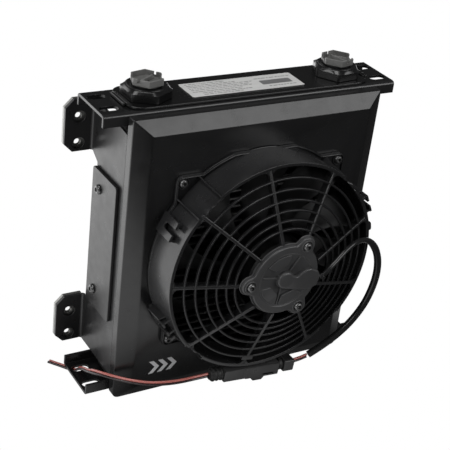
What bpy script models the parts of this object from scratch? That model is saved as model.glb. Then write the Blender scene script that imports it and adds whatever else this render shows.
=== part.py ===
"""Hydraulic oil cooler with a bolted-on suction fan, modelled piece by piece.

Frame: metres, +X to the right across the cooler, +Y to the back, +Z up. The fan faces -Y.
Every piece is placed from the core's mid-plane (x = 0, y = 0) and the surface the cooler
stands on (z = 0). One empty then carries the whole assembly, so that the middle of the
overall depth comes to y = 0. The fan's rotor turns about the motor axis, along Y.
"""
import math

import bmesh
import bpy
from mathutils import Matrix, Vector

# ---------------------------------------------------------------- driving dimensions (m)
GAP = 0.0003                      # clearance between pieces that touch
DATUM_Y = 0.0294                  # moves the core back, so that the overall depth is centred

CORE_DEPTH = 0.050                # over the channel flanges
CHANNEL_LENGTH = 0.283
CHANNEL_SPAN = 0.2684             # outer face of the bottom channel to that of the top one
CHANNEL_FLANGE = 0.0105
CHANNEL_BEND = 0.003
SHEET = 0.0025                    # channel, side plate and ear sheet
PAD = 0.0024                      # the core's end plates outside the channels
SLOT_X, SLOT_Y = 0.1310, 0.0120   # slot centres in the channel ends
TAB_X = 0.1190                    # beyond it the channel's ends are free fixing tabs
SLOT_LENGTH, SLOT_WIDTH = 0.0165, 0.0085

LABEL_THICK = 0.0005
MATRIX_HALF = 0.0735              # fins between the headers
HEADER_X, HEADER_WIDTH, HEADER_DEPTH = 0.0935, 0.0395, 0.042
ROWS = 34
TUBE_HEIGHT, TUBE_DEPTH, FIN_DEPTH = 0.0030, 0.042, 0.0396

BOSS_X, BOSS_R, BOSS_HEIGHT = 0.0930, 0.0215, 0.0100
PORT_R, PORT_DEPTH = 0.0104, 0.0090
PLUG_ACROSS, PLUG_HEIGHT = 0.0262, 0.0062

SHROUD_HALF_WIDTH = 0.120
SHROUD_TOP, SHROUD_RIM_Y, SHROUD_FRONT_Y = 0.2687, -0.0345, -0.0420
SHROUD_SLOPE_X, SHROUD_SLOPE_Z = 0.0150, 0.0131
SHROUD_SHEET, SHROUD_BACK_Y = 0.0020, -0.0260
FAN_OPENING_R = 0.0975

WALL_LOW, WALL_HIGH, WALL_BACK_Y = 0.0190, 0.2524, 0.0256
EAR_FACE_Y, EAR_HEIGHT, EAR_OUT_X = 0.0380, 0.0475, 0.1455
EAR_LOW_Z, EAR_HIGH_Z = 0.0190, 0.2108
EAR_HOLE_X, EAR_HOLE_R = 0.1325, 0.0053
EAR_HOLE_RISE = (0.0075, 0.0315)
NUT_PLATE, THREAD_R = 0.0033, 0.0043

PANEL_THICK, PANEL_HALF_HEIGHT = 0.0027, 0.0655
PANEL_FRONT_Y, PANEL_BACK_Y = -0.0190, 0.0268
PANEL_SCREW_Y, PANEL_SCREW_RISE = 0.0130, 0.0490

AXIS_Z = PAD + CHANNEL_SPAN / 2   # the motor axis is at mid-height
SKIRT_IN, SKIRT_OUT, GUARD_Y = 0.0960, 0.0995, -0.0800
FLANGE_R, FLANGE_THICK = 0.1030, 0.0030
LUG_R, LUG_ROUND, LUG_ANGLES = 0.1080, 0.0085, (45, 135, 225, 315)
HUB_R, HUB_FACE_Y, HUB_THICK = 0.0345, -0.1000, 0.0026
HUB_LUG_R, HUB_LUG_ROUND = 0.0340, 0.0082
SPOKES, SPOKE_WIDTH, SPOKE_DEPTH = 9, 0.0030, 0.0080
SPOKE_PHASE = math.radians(20)
GUARD_RINGS = (0.0868, 0.0776, 0.0688, 0.0605, 0.0525, 0.0455)
RING_WIDTH, RING_DEPTH = 0.0022, 0.0030
GUARD_RIM_R, GUARD_RIM_DEPTH = 0.0936, 0.0075

CAN_R, CAN_WALL = 0.0320, 0.0018
SHAFT_R = 0.0025
BLADES, TIP_R, CUP_R = 10, 0.0935, 0.0390

TOP = PAD + CHANNEL_SPAN          # outer face of the top channel


# ---------------------------------------------------------------- scene and materials
def clear_scene():
    for old in list(bpy.data.objects):
        bpy.data.objects.remove(old, do_unlink=True)


def material(name, colour, roughness, metallic=0.0):
    made = bpy.data.materials.new(name)
    made.use_nodes = True
    shader = made.node_tree.nodes["Principled BSDF"]
    shader.inputs["Base Color"].default_value = (*colour, 1.0)
    shader.inputs["Roughness"].default_value = roughness
    shader.inputs["Metallic"].default_value = metallic
    return made


FINISHES = {
    "black_coat": ((0.020, 0.020, 0.021), 0.32, 0.0),
    "core_coat": ((0.024, 0.024, 0.026), 0.45, 0.0),
    "fan_plastic": ((0.026, 0.026, 0.027), 0.40, 0.0),
    "grey_cap": ((0.20, 0.20, 0.195), 0.45, 0.0),
    "rubber": ((0.012, 0.012, 0.012), 0.70, 0.0),
    "zinc": ((0.55, 0.55, 0.52), 0.35, 1.0),
    "dark_screw": ((0.18, 0.18, 0.18), 0.30, 1.0),
    "steel": ((0.50, 0.50, 0.50), 0.30, 1.0),
    "magnet": ((0.09, 0.09, 0.10), 0.60, 0.0),
    "copper": ((0.62, 0.30, 0.16), 0.35, 1.0),
    "sleeve": ((0.035, 0.035, 0.035), 0.45, 0.0),
    "red_wire": ((0.50, 0.14, 0.12), 0.40, 0.0),
    "black_wire": ((0.030, 0.022, 0.023), 0.40, 0.0),
    "connector": ((0.030, 0.030, 0.031), 0.40, 0.0),
    "label": ((0.50, 0.50, 0.49), 0.35, 0.0),
}


def finish_object(mesh_object, finish, parent, smooth=True):
    """Give the piece a material of its own, its shading and its parent."""
    mesh_object.data.materials.clear()
    mesh_object.data.materials.append(material(mesh_object.name, *FINISHES[finish]))
    mesh_object.parent = parent
    if smooth and mesh_object.type == "MESH":
        mesh_object.data.shade_smooth()
        mesh_object.data.set_sharp_from_angle(angle=math.radians(35))
    return mesh_object


def add_object(name, bm):
    bmesh.ops.recalc_face_normals(bm, faces=bm.faces)
    mesh = bpy.data.meshes.new(name)
    bm.to_mesh(mesh)
    bm.free()
    made = bpy.data.objects.new(name, mesh)
    bpy.context.scene.collection.objects.link(made)
    return made


# ---------------------------------------------------------------- outlines (lists of 2-D points)
def circle(cx, cy, radius, count=24, phase=0.0):
    step = 2 * math.pi / count
    return [(cx + radius * math.cos(phase + i * step), cy + radius * math.sin(phase + i * step))
            for i in range(count)]


def arc(cx, cy, radius, start, end, count):
    """Points on an arc, angles in degrees, both ends included."""
    return [(cx + radius * math.cos(math.radians(start + (end - start) * i / count)),
             cy + radius * math.sin(math.radians(start + (end - start) * i / count)))
            for i in range(count + 1)]


def rounded_rectangle(x0, y0, x1, y1, radius, count=4):
    corners = ((x1 - radius, y1 - radius, 0), (x0 + radius, y1 - radius, 90),
               (x0 + radius, y0 + radius, 180), (x1 - radius, y0 + radius, 270))
    return [p for cx, cy, start in corners for p in arc(cx, cy, radius, start, start + 90, count)]


def stadium(cx, cy, length, width, count=6):
    """A slot outline with round ends, its length along the first axis."""
    reach = (length - width) / 2
    return (arc(cx + reach, cy, width / 2, -90, 90, count)
            + arc(cx - reach, cy, width / 2, 90, 270, count))


def hexagon(cx, cy, across_flats, phase=0.0):
    return circle(cx, cy, across_flats / math.sqrt(3), 6, phase)


# Each plane lays (u, v) of an outline out and gives the direction of its thickness.
PLANES = {
    "XY": (Vector((1, 0, 0)), Vector((0, 1, 0)), Vector((0, 0, 1))),
    "XZ": (Vector((1, 0, 0)), Vector((0, 0, 1)), Vector((0, 1, 0))),
    "YZ": (Vector((0, 1, 0)), Vector((0, 0, 1)), Vector((1, 0, 0))),
}


# ---------------------------------------------------------------- solid builders
def prism_bmesh(outline, holes, plane, start, thickness):
    """A flat outline with holes, from `start` along the plane's normal, as thick as `thickness`."""
    u, v, normal = PLANES[plane]
    bm = bmesh.new()
    for loop in [outline] + list(holes):
        verts = [bm.verts.new(u * a + v * b + normal * start) for a, b in loop]
        for i, vert in enumerate(verts):
            bm.edges.new((vert, verts[(i + 1) % len(verts)]))
    bmesh.ops.triangle_fill(bm, use_beauty=True, use_dissolve=False, edges=list(bm.edges))
    grown = bmesh.ops.extrude_face_region(bm, geom=list(bm.faces))
    moved = [g for g in grown["geom"] if isinstance(g, bmesh.types.BMVert)]
    bmesh.ops.translate(bm, verts=moved, vec=normal * thickness)
    return bm


def prism(name, outline, plane, start, thickness, finish, parent, holes=()):
    bm = prism_bmesh(outline, holes, plane, start, thickness)
    return finish_object(add_object(name, bm), finish, parent)


def turned_bmesh(profile, centre, axis, segments=24):
    """Turn a closed profile of (radius, distance along the axis) points about an axis."""
    direction = Vector(axis).normalized()
    side = direction.orthogonal().normalized()
    bm = bmesh.new()
    rings = []
    for i in range(segments):
        turn = Matrix.Rotation(2 * math.pi * i / segments, 3, direction)
        rings.append([bm.verts.new(Vector(centre) + turn @ (side * r) + direction * s)
                      for r, s in profile])
    count = len(profile)
    for i in range(segments):
        here, there = rings[i], rings[(i + 1) % segments]
        for k in range(count):
            following = (k + 1) % count
            bm.faces.new((here[k], here[following], there[following], there[k]))
    bmesh.ops.remove_doubles(bm, verts=bm.verts, dist=1e-6)
    loose = [f for f in bm.faces if f.calc_area() < 1e-13]
    bmesh.ops.delete(bm, geom=loose, context="FACES")
    return bm


def turned(name, profile, centre, axis, finish, parent, segments=24):
    bm = turned_bmesh(profile, centre, axis, segments)
    return finish_object(add_object(name, bm), finish, parent)


def box_bmesh(low, high):
    bm = bmesh.new()
    size = Vector(high) - Vector(low)
    middle = (Vector(high) + Vector(low)) / 2
    bmesh.ops.create_cube(bm, size=1.0, matrix=Matrix.Translation(middle) @ Matrix.Diagonal((*size, 1.0)))
    return bm


def box(name, low, high, finish, parent, bevel=0.0):
    made = finish_object(add_object(name, box_bmesh(low, high)), finish, parent)
    if bevel:
        edge = made.modifiers.new("edges", "BEVEL")
        edge.width = bevel
        edge.segments = 1
    return made


def beam_bmesh(start, end, across, width, depth):
    """A straight bar from start to end; `across` is the direction of its width."""
    along = (Vector(end) - Vector(start)).normalized()
    across = Vector(across).normalized()
    deep = along.cross(across).normalized()
    bm = bmesh.new()
    corners = []
    for point in (Vector(start), Vector(end)):
        for a, b in ((-1, -1), (1, -1), (1, 1), (-1, 1)):
            corners.append(bm.verts.new(point + across * (a * width / 2) + deep * (b * depth / 2)))
    for face in ((0, 1, 2, 3), (7, 6, 5, 4), (0, 4, 5, 1), (1, 5, 6, 2), (2, 6, 7, 3), (3, 7, 4, 0)):
        bm.faces.new([corners[i] for i in face])
    return bm


def helper(name, bm, parent):
    """A cutter or an added shape: never rendered, used only by another piece's Boolean."""
    made = add_object(name, bm)
    made.parent = parent
    made.hide_render = True
    made.display_type = "WIRE"
    return made


def combine(target, tool, operation):
    step = target.modifiers.new(operation.lower(), "BOOLEAN")
    step.operation = operation
    step.object = tool
    step.solver = "EXACT"


def polar(radius, angle, y):
    """A point at a radius and angle (from +X towards +Z) about the motor axis."""
    return Vector((radius * math.cos(angle), y, AXIS_Z + radius * math.sin(angle)))


# ---------------------------------------------------------------- core
def core_matrix(root):
    """The brazed stack between the headers: flat tubes with the fin rows set back between them."""
    low, high = PAD + SHEET + GAP, TOP - SHEET - GAP
    pitch = (high - low - TUBE_HEIGHT) / ROWS
    front, back = [], []
    for i in range(ROWS + 1):
        z = low + i * pitch
        for depth, level in ((TUBE_DEPTH, z), (TUBE_DEPTH, z + TUBE_HEIGHT)):
            front.append((-depth / 2, level))
            back.append((depth / 2, level))
        if i < ROWS:
            for level in (z + TUBE_HEIGHT, z + pitch):
                front.append((-FIN_DEPTH / 2, level))
                back.append((FIN_DEPTH / 2, level))
    outline = front + back[::-1]
    prism("core_matrix", outline, "YZ", -MATRIX_HALF, 2 * MATRIX_HALF, "core_coat", root)


def headers(root):
    """The two collecting columns at the ends of the tubes, under the ports."""
    low, high = PAD + SHEET + GAP, TOP - SHEET - GAP
    for side, sign in (("left", -1), ("right", 1)):
        inner, outer = sign * (MATRIX_HALF + GAP), sign * (HEADER_X + HEADER_WIDTH / 2)
        outline = rounded_rectangle(min(inner, outer), -HEADER_DEPTH / 2, max(inner, outer),
                                    HEADER_DEPTH / 2, 0.012)
        prism(f"{side}_header", outline, "XY", low, high - low, "core_coat", root)


def channel_profile():
    """One end channel across its depth, web at level 0 and flanges reaching down."""
    half, r = CORE_DEPTH / 2, CHANNEL_BEND
    inner = r - SHEET
    outer = arc(-half + r, -r, r, 180, 90, 4) + arc(half - r, -r, r, 90, 0, 4)
    inside = arc(half - r, -r, inner, 0, 90, 2) + arc(-half + r, -r, inner, 90, 180, 2)
    return ([(-half, -CHANNEL_FLANGE)] + outer
            + [(half, -CHANNEL_FLANGE), (half - SHEET, -CHANNEL_FLANGE)] + inside
            + [(-half + SHEET, -CHANNEL_FLANGE)])


def channels(root):
    """The folded end channels that hold the core; their slotted ends are fixing tabs."""
    for name, level, sign in (("top_channel", TOP, 1), ("bottom_channel", PAD, -1)):
        outline = [(y, level + sign * z) for y, z in channel_profile()]
        fold = prism_bmesh(outline, (), "YZ", -CHANNEL_LENGTH / 2, CHANNEL_LENGTH)
        for x in (-TAB_X, TAB_X):
            everything = list(fold.verts) + list(fold.edges) + list(fold.faces)
            bmesh.ops.bisect_plane(fold, geom=everything, plane_co=(x, 0, 0), plane_no=(1, 0, 0))
        made = finish_object(add_object(name, fold), "black_coat", root)
        for x in (-SLOT_X, SLOT_X):
            for y in (-SLOT_Y, SLOT_Y):
                cutter = prism_bmesh(stadium(x, y, SLOT_LENGTH, SLOT_WIDTH), (), "XY",
                                     level - 0.004, 0.008)
                combine(made, helper("slot_cutter", cutter, root), "DIFFERENCE")


def end_plates(root):
    """The core's outer end plates; the lower one is what the cooler stands on, and the upper one
    carries the rating label."""
    outline = rounded_rectangle(-0.1165, -0.0235, 0.1165, 0.0235, 0.015, 5)
    prism("core_base_plate", outline, "XY", 0.0, PAD - GAP, "black_coat", root)
    prism("core_top_plate", outline, "XY", TOP + GAP, PAD - GAP, "black_coat", root)
    label = rounded_rectangle(-0.0580, -0.0160, 0.0510, 0.0114, 0.0015, 2)
    prism("rating_label", label, "XY", TOP + PAD + GAP, LABEL_THICK, "label", root)


def ports(root):
    """Two threaded ports on top, each with a sealed transport plug."""
    base = TOP + PAD + GAP
    for side, x in (("left", -BOSS_X), ("right", BOSS_X)):
        edge = 0.0025
        profile = [(0.0, 0.0), (BOSS_R - 0.001, 0.0), (BOSS_R, 0.001), (BOSS_R, 0.005),
                   (BOSS_R - 2 * edge, BOSS_HEIGHT), (PORT_R, BOSS_HEIGHT),
                   (PORT_R, BOSS_HEIGHT - PORT_DEPTH), (0.0, BOSS_HEIGHT - PORT_DEPTH)]
        turned(f"{side}_port_boss", profile, (x, 0, base), (0, 0, 1), "black_coat", root, 28)
        seat = base + BOSS_HEIGHT + GAP
        ring = [(PORT_R + 0.0002, 0.0), (PORT_R + 0.0018, 0.0), (PORT_R + 0.0018, 0.0012),
                (PORT_R + 0.0002, 0.0012)]
        turned(f"{side}_plug_seal", ring, (x, 0, seat), (0, 0, 1), "rubber", root, 20)
        port_plug(side, x, seat + 0.0012 + GAP, root)


def port_plug(side, x, level, root):
    """A hexagonal plastic plug: a stem in the port and a head with a wide driving slot."""
    name = f"{side}_port_plug"
    head = prism_bmesh(hexagon(x, 0, PLUG_ACROSS, math.radians(12)), (), "XY", level, PLUG_HEIGHT)
    made = finish_object(add_object(name, head), "grey_cap", root)
    stem = turned_bmesh([(0, -0.0080), (PORT_R - GAP, -0.0080), (PORT_R - GAP, 0.001), (0, 0.001)],
                        (x, 0, level), (0, 0, 1), 20)
    combine(made, helper("stem_shape", stem, root), "UNION")
    slot = box_bmesh((-0.0200, -0.0048, -0.0030), (0.0200, 0.0048, 0.0030))
    turn = Matrix.Translation((x, 0, level + PLUG_HEIGHT)) @ Matrix.Rotation(math.radians(-18), 4, "Z")
    bmesh.ops.transform(slot, matrix=turn, verts=slot.verts)
    combine(made, helper("slot_shape", slot, root), "DIFFERENCE")


# ---------------------------------------------------------------- sheet metal
def fan_shroud(root):
    """The tray in front of the core: short side flanges, four sloping sides and a flat front
    with the fan's round opening."""
    slope = Vector((SHROUD_SLOPE_X, 0, SHROUD_SLOPE_Z))
    t = SHROUD_SHEET

    def rectangle(y, inset_x, inset_z):
        x = SHROUD_HALF_WIDTH - inset_x
        low, high = inset_z, SHROUD_TOP - inset_z
        return [Vector((-x, y, low)), Vector((x, y, low)), Vector((x, y, high)), Vector((-x, y, high))]

    outer = [rectangle(SHROUD_BACK_Y, 0, 0), rectangle(SHROUD_RIM_Y, 0, 0),
             rectangle(SHROUD_FRONT_Y, slope.x, slope.z)]
    inner = [rectangle(SHROUD_BACK_Y, t, t), rectangle(SHROUD_RIM_Y + t / 3, t, t),
             rectangle(SHROUD_FRONT_Y + t, slope.x + t / 3, slope.z + t / 3)]
    bm = bmesh.new()
    rings = [[bm.verts.new(p) for p in ring] for ring in outer + inner[::-1]]
    for here, there in zip(rings[:2], rings[1:3]):
        bridge(bm, here, there)
    for here, there in zip(rings[3:5], rings[4:6]):
        bridge(bm, here, there)
    bridge(bm, rings[5], rings[0])
    rims = []
    for ring, y in ((rings[2], SHROUD_FRONT_Y), (rings[3], SHROUD_FRONT_Y + t)):
        hole = [bm.verts.new((x, y, z)) for x, z in circle(0, AXIS_Z, FAN_OPENING_R, 40)]
        edges = [bm.edges.new((hole[i], hole[(i + 1) % len(hole)])) for i in range(len(hole))]
        edges += [bm.edges.get((ring[i], ring[(i + 1) % 4])) for i in range(4)]
        bmesh.ops.triangle_fill(bm, use_beauty=True, use_dissolve=False, edges=edges)
        rims.append(hole)
    bridge(bm, rims[0], rims[1])
    shroud = finish_object(add_object("fan_shroud", bm), "black_coat", root, smooth=False)
    for angle in LUG_ANGLES:
        hole = polar(LUG_R, math.radians(angle), SHROUD_FRONT_Y + t / 2)
        cutter = prism_bmesh(circle(hole.x, hole.z, 0.0024, 10), (), "XZ", SHROUD_FRONT_Y - t, 3 * t)
        combine(shroud, helper("screw_hole_cutter", cutter, root), "DIFFERENCE")


def bridge(bm, here, there):
    """Quads between two rings of the same number of vertices."""
    count = len(here)
    for i in range(count):
        following = (i + 1) % count
        bm.faces.new((here[i], here[following], there[following], there[i]))


def ear_outline(low, sign):
    """A fixing ear seen from the front: outer corners cut off."""
    cut, inner = 0.0075, SHROUD_HALF_WIDTH - SHEET
    points = [(inner, low), (EAR_OUT_X - cut, low), (EAR_OUT_X, low + cut),
              (EAR_OUT_X, low + EAR_HEIGHT - cut), (EAR_OUT_X - cut, low + EAR_HEIGHT),
              (inner, low + EAR_HEIGHT)]
    return [(sign * x, z) for x, z in points]


def side_plates(root):
    """Each side: a flat wall beside the core, whose two rear tabs are folded out as fixing ears."""
    for side, sign in (("left", -1), ("right", 1)):
        back = EAR_FACE_Y + SHEET
        outline = [(SHROUD_BACK_Y + GAP, WALL_LOW), (back, WALL_LOW), (back, EAR_LOW_Z + EAR_HEIGHT),
                   (WALL_BACK_Y, EAR_LOW_Z + EAR_HEIGHT), (WALL_BACK_Y, EAR_HIGH_Z),
                   (back, EAR_HIGH_Z), (back, EAR_HIGH_Z + EAR_HEIGHT),
                   (WALL_BACK_Y, EAR_HIGH_Z + EAR_HEIGHT), (WALL_BACK_Y, WALL_HIGH),
                   (SHROUD_BACK_Y + GAP, WALL_HIGH)]
        start = sign * SHROUD_HALF_WIDTH - (SHEET if sign > 0 else 0)
        holes = [circle(PANEL_SCREW_Y, AXIS_Z + rise, 0.0024, 12)
                 for rise in (-PANEL_SCREW_RISE, PANEL_SCREW_RISE)]
        wall = prism(f"{side}_side_plate", outline, "YZ", start, SHEET, "black_coat", root, holes)
        for low in (EAR_LOW_Z, EAR_HIGH_Z):
            bolt_holes = [circle(sign * EAR_HOLE_X, low + rise, EAR_HOLE_R, 16)
                          for rise in EAR_HOLE_RISE]
            ear = prism_bmesh(ear_outline(low, sign), bolt_holes, "XZ", EAR_FACE_Y, SHEET)
            combine(wall, helper("ear_shape", ear, root), "UNION")


def nut_plates(root):
    """A thick tapped plate welded behind each ear, for the fixing bolts."""
    for side, sign in (("left", -1), ("right", 1)):
        for level, low in (("lower", EAR_LOW_Z), ("upper", EAR_HIGH_Z)):
            outline = [(x if abs(x) > SHROUD_HALF_WIDTH + GAP else sign * (SHROUD_HALF_WIDTH + 0.0005), z)
                       for x, z in ear_outline(low, sign)]
            holes = [circle(sign * EAR_HOLE_X, low + rise, THREAD_R, 16) for rise in EAR_HOLE_RISE]
            prism(f"{side}_{level}_nut_plate", outline, "XZ", EAR_FACE_Y + SHEET + GAP, NUT_PLATE,
                  "zinc", root, holes)


def cover_panels(root):
    """A flat cover screwed on each side wall."""
    for side, sign in (("left", -1), ("right", 1)):
        inner = SHROUD_HALF_WIDTH + GAP
        start = inner if sign > 0 else -inner - PANEL_THICK
        outline = rounded_rectangle(PANEL_FRONT_Y, AXIS_Z - PANEL_HALF_HEIGHT, PANEL_BACK_Y,
                                    AXIS_Z + PANEL_HALF_HEIGHT, 0.0045, 3)
        rises = (("lower", -PANEL_SCREW_RISE), ("upper", PANEL_SCREW_RISE))
        holes = [circle(PANEL_SCREW_Y, AXIS_Z + rise, 0.0024, 12) for _, rise in rises]
        prism(f"{side}_cover_panel", outline, "YZ", start, PANEL_THICK, "black_coat", root, holes)
        seat = inner + PANEL_THICK + GAP
        head = [(0, -0.0062), (0.0020, -0.0062), (0.0020, 0), (0.0039, 0), (0.0037, 0.0014),
                (0.0026, 0.0023), (0, 0.0025)]
        for level, rise in rises:
            turned(f"{side}_panel_screw_{level}", head, (sign * seat, PANEL_SCREW_Y, AXIS_Z + rise),
                   (sign, 0, 0), "dark_screw", root, 16)


# ---------------------------------------------------------------- fan frame
def guard_y(radius):
    """The guard is a shallow cone: its front face at a radius."""
    rise = (SKIRT_IN - radius) / (SKIRT_IN - HUB_R)
    return GUARD_Y + (HUB_FACE_Y + 0.0020 - GUARD_Y) * rise


def ring_profile(inner, outer, front, back):
    """A rectangular ring section for turning about the motor axis (towards +Y)."""
    return [(inner, front), (outer, front), (outer, back), (inner, back)]


def flange_outline():
    """The fan's base flange: a circle with four fixing lugs on the diagonals."""
    points = []
    reach = math.degrees(math.asin(LUG_ROUND / LUG_R))
    for quarter in range(4):
        middle = 45 + 90 * quarter
        cx, cy = LUG_R * math.cos(math.radians(middle)), LUG_R * math.sin(math.radians(middle))
        points += arc(0, 0, FLANGE_R, middle - 90 + 2.6 * reach, middle - 2.6 * reach, 5)
        points += arc(cx, cy, LUG_ROUND, middle - 80, middle + 80, 5)
    return [(x, AXIS_Z + z) for x, z in points]


def fan_frame(root):
    """Skirt and base flange with the ribs beside its lugs and its cable clips."""
    axis, centre = (0, 1, 0), (0, 0, AXIS_Z)
    flange_y = SHROUD_FRONT_Y - GAP - FLANGE_THICK
    skirt = turned_bmesh([(SKIRT_IN, GUARD_Y), (SKIRT_OUT - 0.001, GUARD_Y),
                          (SKIRT_OUT, GUARD_Y + 0.001), (SKIRT_OUT, flange_y + 0.001),
                          (SKIRT_IN, flange_y + 0.001)], centre, axis, 45)
    frame = finish_object(add_object("fan_frame", skirt), "fan_plastic", root)
    screw_holes = [circle(LUG_R * math.cos(math.radians(a)), AXIS_Z + LUG_R * math.sin(math.radians(a)),
                          0.0024, 12) for a in LUG_ANGLES]
    flange = prism_bmesh(flange_outline(), screw_holes + [circle(0, AXIS_Z, SKIRT_IN + 0.0004, 45)],
                         "XZ", flange_y, FLANGE_THICK)
    combine(frame, helper("flange_shape", flange, root), "UNION")
    for middle in LUG_ANGLES:
        for offset in (-7, 7):
            angle = math.radians(middle + offset)
            rib = beam_bmesh(polar(SKIRT_OUT + 0.0025, angle, GUARD_Y + 0.004),
                             polar(SKIRT_OUT + 0.0025, angle, flange_y + 0.001),
                             (-math.sin(angle), 0, math.cos(angle)), 0.0018, 0.0070)
            combine(frame, helper("rib_shape", rib, root), "UNION")
    for angle in (25, 155, 205, 335):
        for clip in clip_loop(math.radians(angle)):
            combine(frame, helper("clip_shape", clip, root), "UNION")


def guard_grille(root):
    """Finger guard with the motor mount in its middle and a rim that sits in the skirt."""
    axis, centre = (0, 1, 0), (0, 0, AXIS_Z)
    grille = finish_object(add_object("guard_grille", hub_plate()), "fan_plastic", root)
    rings = [ring_profile(radius - RING_WIDTH / 2, radius + RING_WIDTH / 2, guard_y(radius),
                          guard_y(radius) + RING_DEPTH) for radius in GUARD_RINGS]
    rings.append(ring_profile(GUARD_RIM_R, SKIRT_IN - GAP, GUARD_Y + GAP, GUARD_Y + GUARD_RIM_DEPTH))
    for i in range(SPOKES):
        over_lug = i % 3 == 1
        bar = spoke(SPOKE_PHASE + 2 * math.pi * i / SPOKES, over_lug)
        combine(grille, helper("spoke_shape", bar, root), "UNION")
    for section in rings:
        ring = turned_bmesh(section, centre, axis, 5 * SPOKES)
        combine(grille, helper("guard_ring_shape", ring, root), "UNION")


def spoke(angle, over_lug):
    """One straight radial bar of the guard, sloping forward from its rim to the hub or to the
    screw lug that is in its way."""
    inner = HUB_LUG_R + HUB_LUG_ROUND - 0.0015 if over_lug else HUB_R - 0.0015
    outer = (GUARD_RIM_R + SKIRT_IN) / 2 - 0.0010
    start = polar(inner, angle, guard_y(inner) + SPOKE_DEPTH / 2)
    end = polar(outer, angle, guard_y(outer) + SPOKE_DEPTH / 2)
    return beam_bmesh(start, end, (-math.sin(angle), 0, math.cos(angle)), SPOKE_WIDTH, SPOKE_DEPTH)


def hub_plate():
    """The round plate in front of the motor with three screw lugs."""
    points = []
    for third in range(3):
        middle = 60 + 120 * third
        angle = math.radians(middle)
        cx, cy = HUB_LUG_R * math.cos(angle), HUB_LUG_R * math.sin(angle)
        points += arc(0, 0, HUB_R, middle - 120 + 15, middle - 15, 8)
        points += arc(cx, cy, HUB_LUG_ROUND, middle - 85, middle + 85, 6)
    outline = [(x, AXIS_Z + z) for x, z in points]
    holes = [circle(HUB_LUG_R * math.cos(math.radians(a)), AXIS_Z + HUB_LUG_R * math.sin(math.radians(a)),
                    0.0022, 10) for a in (60, 180, 300)]
    return prism_bmesh(outline, holes, "XZ", HUB_FACE_Y, HUB_THICK + 0.0015)


def clip_loop(angle):
    """A U-shaped cable clip on the skirt: two arms along the axis and a bar that joins them."""
    around = Vector((-math.sin(angle), 0, math.cos(angle)))
    radius = SKIRT_OUT + 0.0025
    pieces = []
    for shift in (-0.0062, 0.0062):
        start = polar(radius, angle, GUARD_Y + 0.004) + around * shift
        end = polar(radius, angle, GUARD_Y + 0.022) + around * shift
        pieces.append(beam_bmesh(start, end, around, 0.0040, 0.0070))
    start = polar(radius, angle, GUARD_Y + 0.019) - around * 0.0070
    end = polar(radius, angle, GUARD_Y + 0.019) + around * 0.0070
    pieces.append(beam_bmesh(start, end, (0, 1, 0), 0.0060, 0.0066))
    return pieces


def fan_screws(root):
    """Four screws hold the fan on the shroud, three hold the motor on the guard."""
    head = [(0, -0.0040), (0.0020, -0.0040), (0.0020, 0), (0.0038, 0), (0.0036, 0.0016),
            (0.0024, 0.0024), (0, 0.0026)]
    face_y = SHROUD_FRONT_Y - GAP - FLANGE_THICK - GAP
    for i, angle in enumerate(LUG_ANGLES):
        turned(f"fan_screw_{i + 1}", head, polar(LUG_R, math.radians(angle), face_y), (0, -1, 0),
               "dark_screw", root, 14)
    for i, angle in enumerate((60, 180, 300)):
        turned(f"motor_screw_{i + 1}", [(0, -0.0060)] + [(0.0018, -0.0060), (0.0018, 0)] + head[3:],
               polar(HUB_LUG_R, math.radians(angle), HUB_FACE_Y - GAP), (0, -1, 0), "steel", root, 14)


# ---------------------------------------------------------------- motor
CAN_FRONT_Y = HUB_FACE_Y + HUB_THICK + 0.0015 + GAP
CAN_BACK_Y = -0.0600
BEARING_R, BEARING_LENGTH = 0.0080, 0.0040


def motor_housing(root):
    """The drawn can with its bearing pocket, and the rear cap that closes it."""
    centre, axis = (0, 0, AXIS_Z), (0, 1, 0)
    pocket = BEARING_R + GAP
    front, wall_in = CAN_FRONT_Y, CAN_R - CAN_WALL
    # the can's front end stays inside the three screws
    profile = [(0, front), (0.0270, front), (CAN_R, front + 0.0055), (CAN_R, CAN_BACK_Y),
               (wall_in, CAN_BACK_Y), (wall_in, front + 0.0065), (0.0240, front + 0.0058),
               (pocket, front + 0.0058), (pocket, front + 0.0015), (0, front + 0.0015)]
    turned("motor_can", profile, centre, axis, "core_coat", root, 28)
    cap = CAN_BACK_Y + GAP
    turned("motor_end_cap", [(pocket, cap), (CAN_R, cap), (CAN_R, cap + 0.0050),
                             (SHAFT_R + 0.0010, cap + 0.0050), (SHAFT_R + 0.0010, cap + 0.0042),
                             (pocket, cap + 0.0042)], centre, axis, "core_coat", root, 28)
    for name, start in (("front_bearing", front + 0.0015 + GAP), ("rear_bearing", cap + 0.0001)):
        turned(name, ring_profile(SHAFT_R + GAP, BEARING_R, start, start + BEARING_LENGTH - 0.0002),
               centre, axis, "steel", root, 18)


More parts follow.
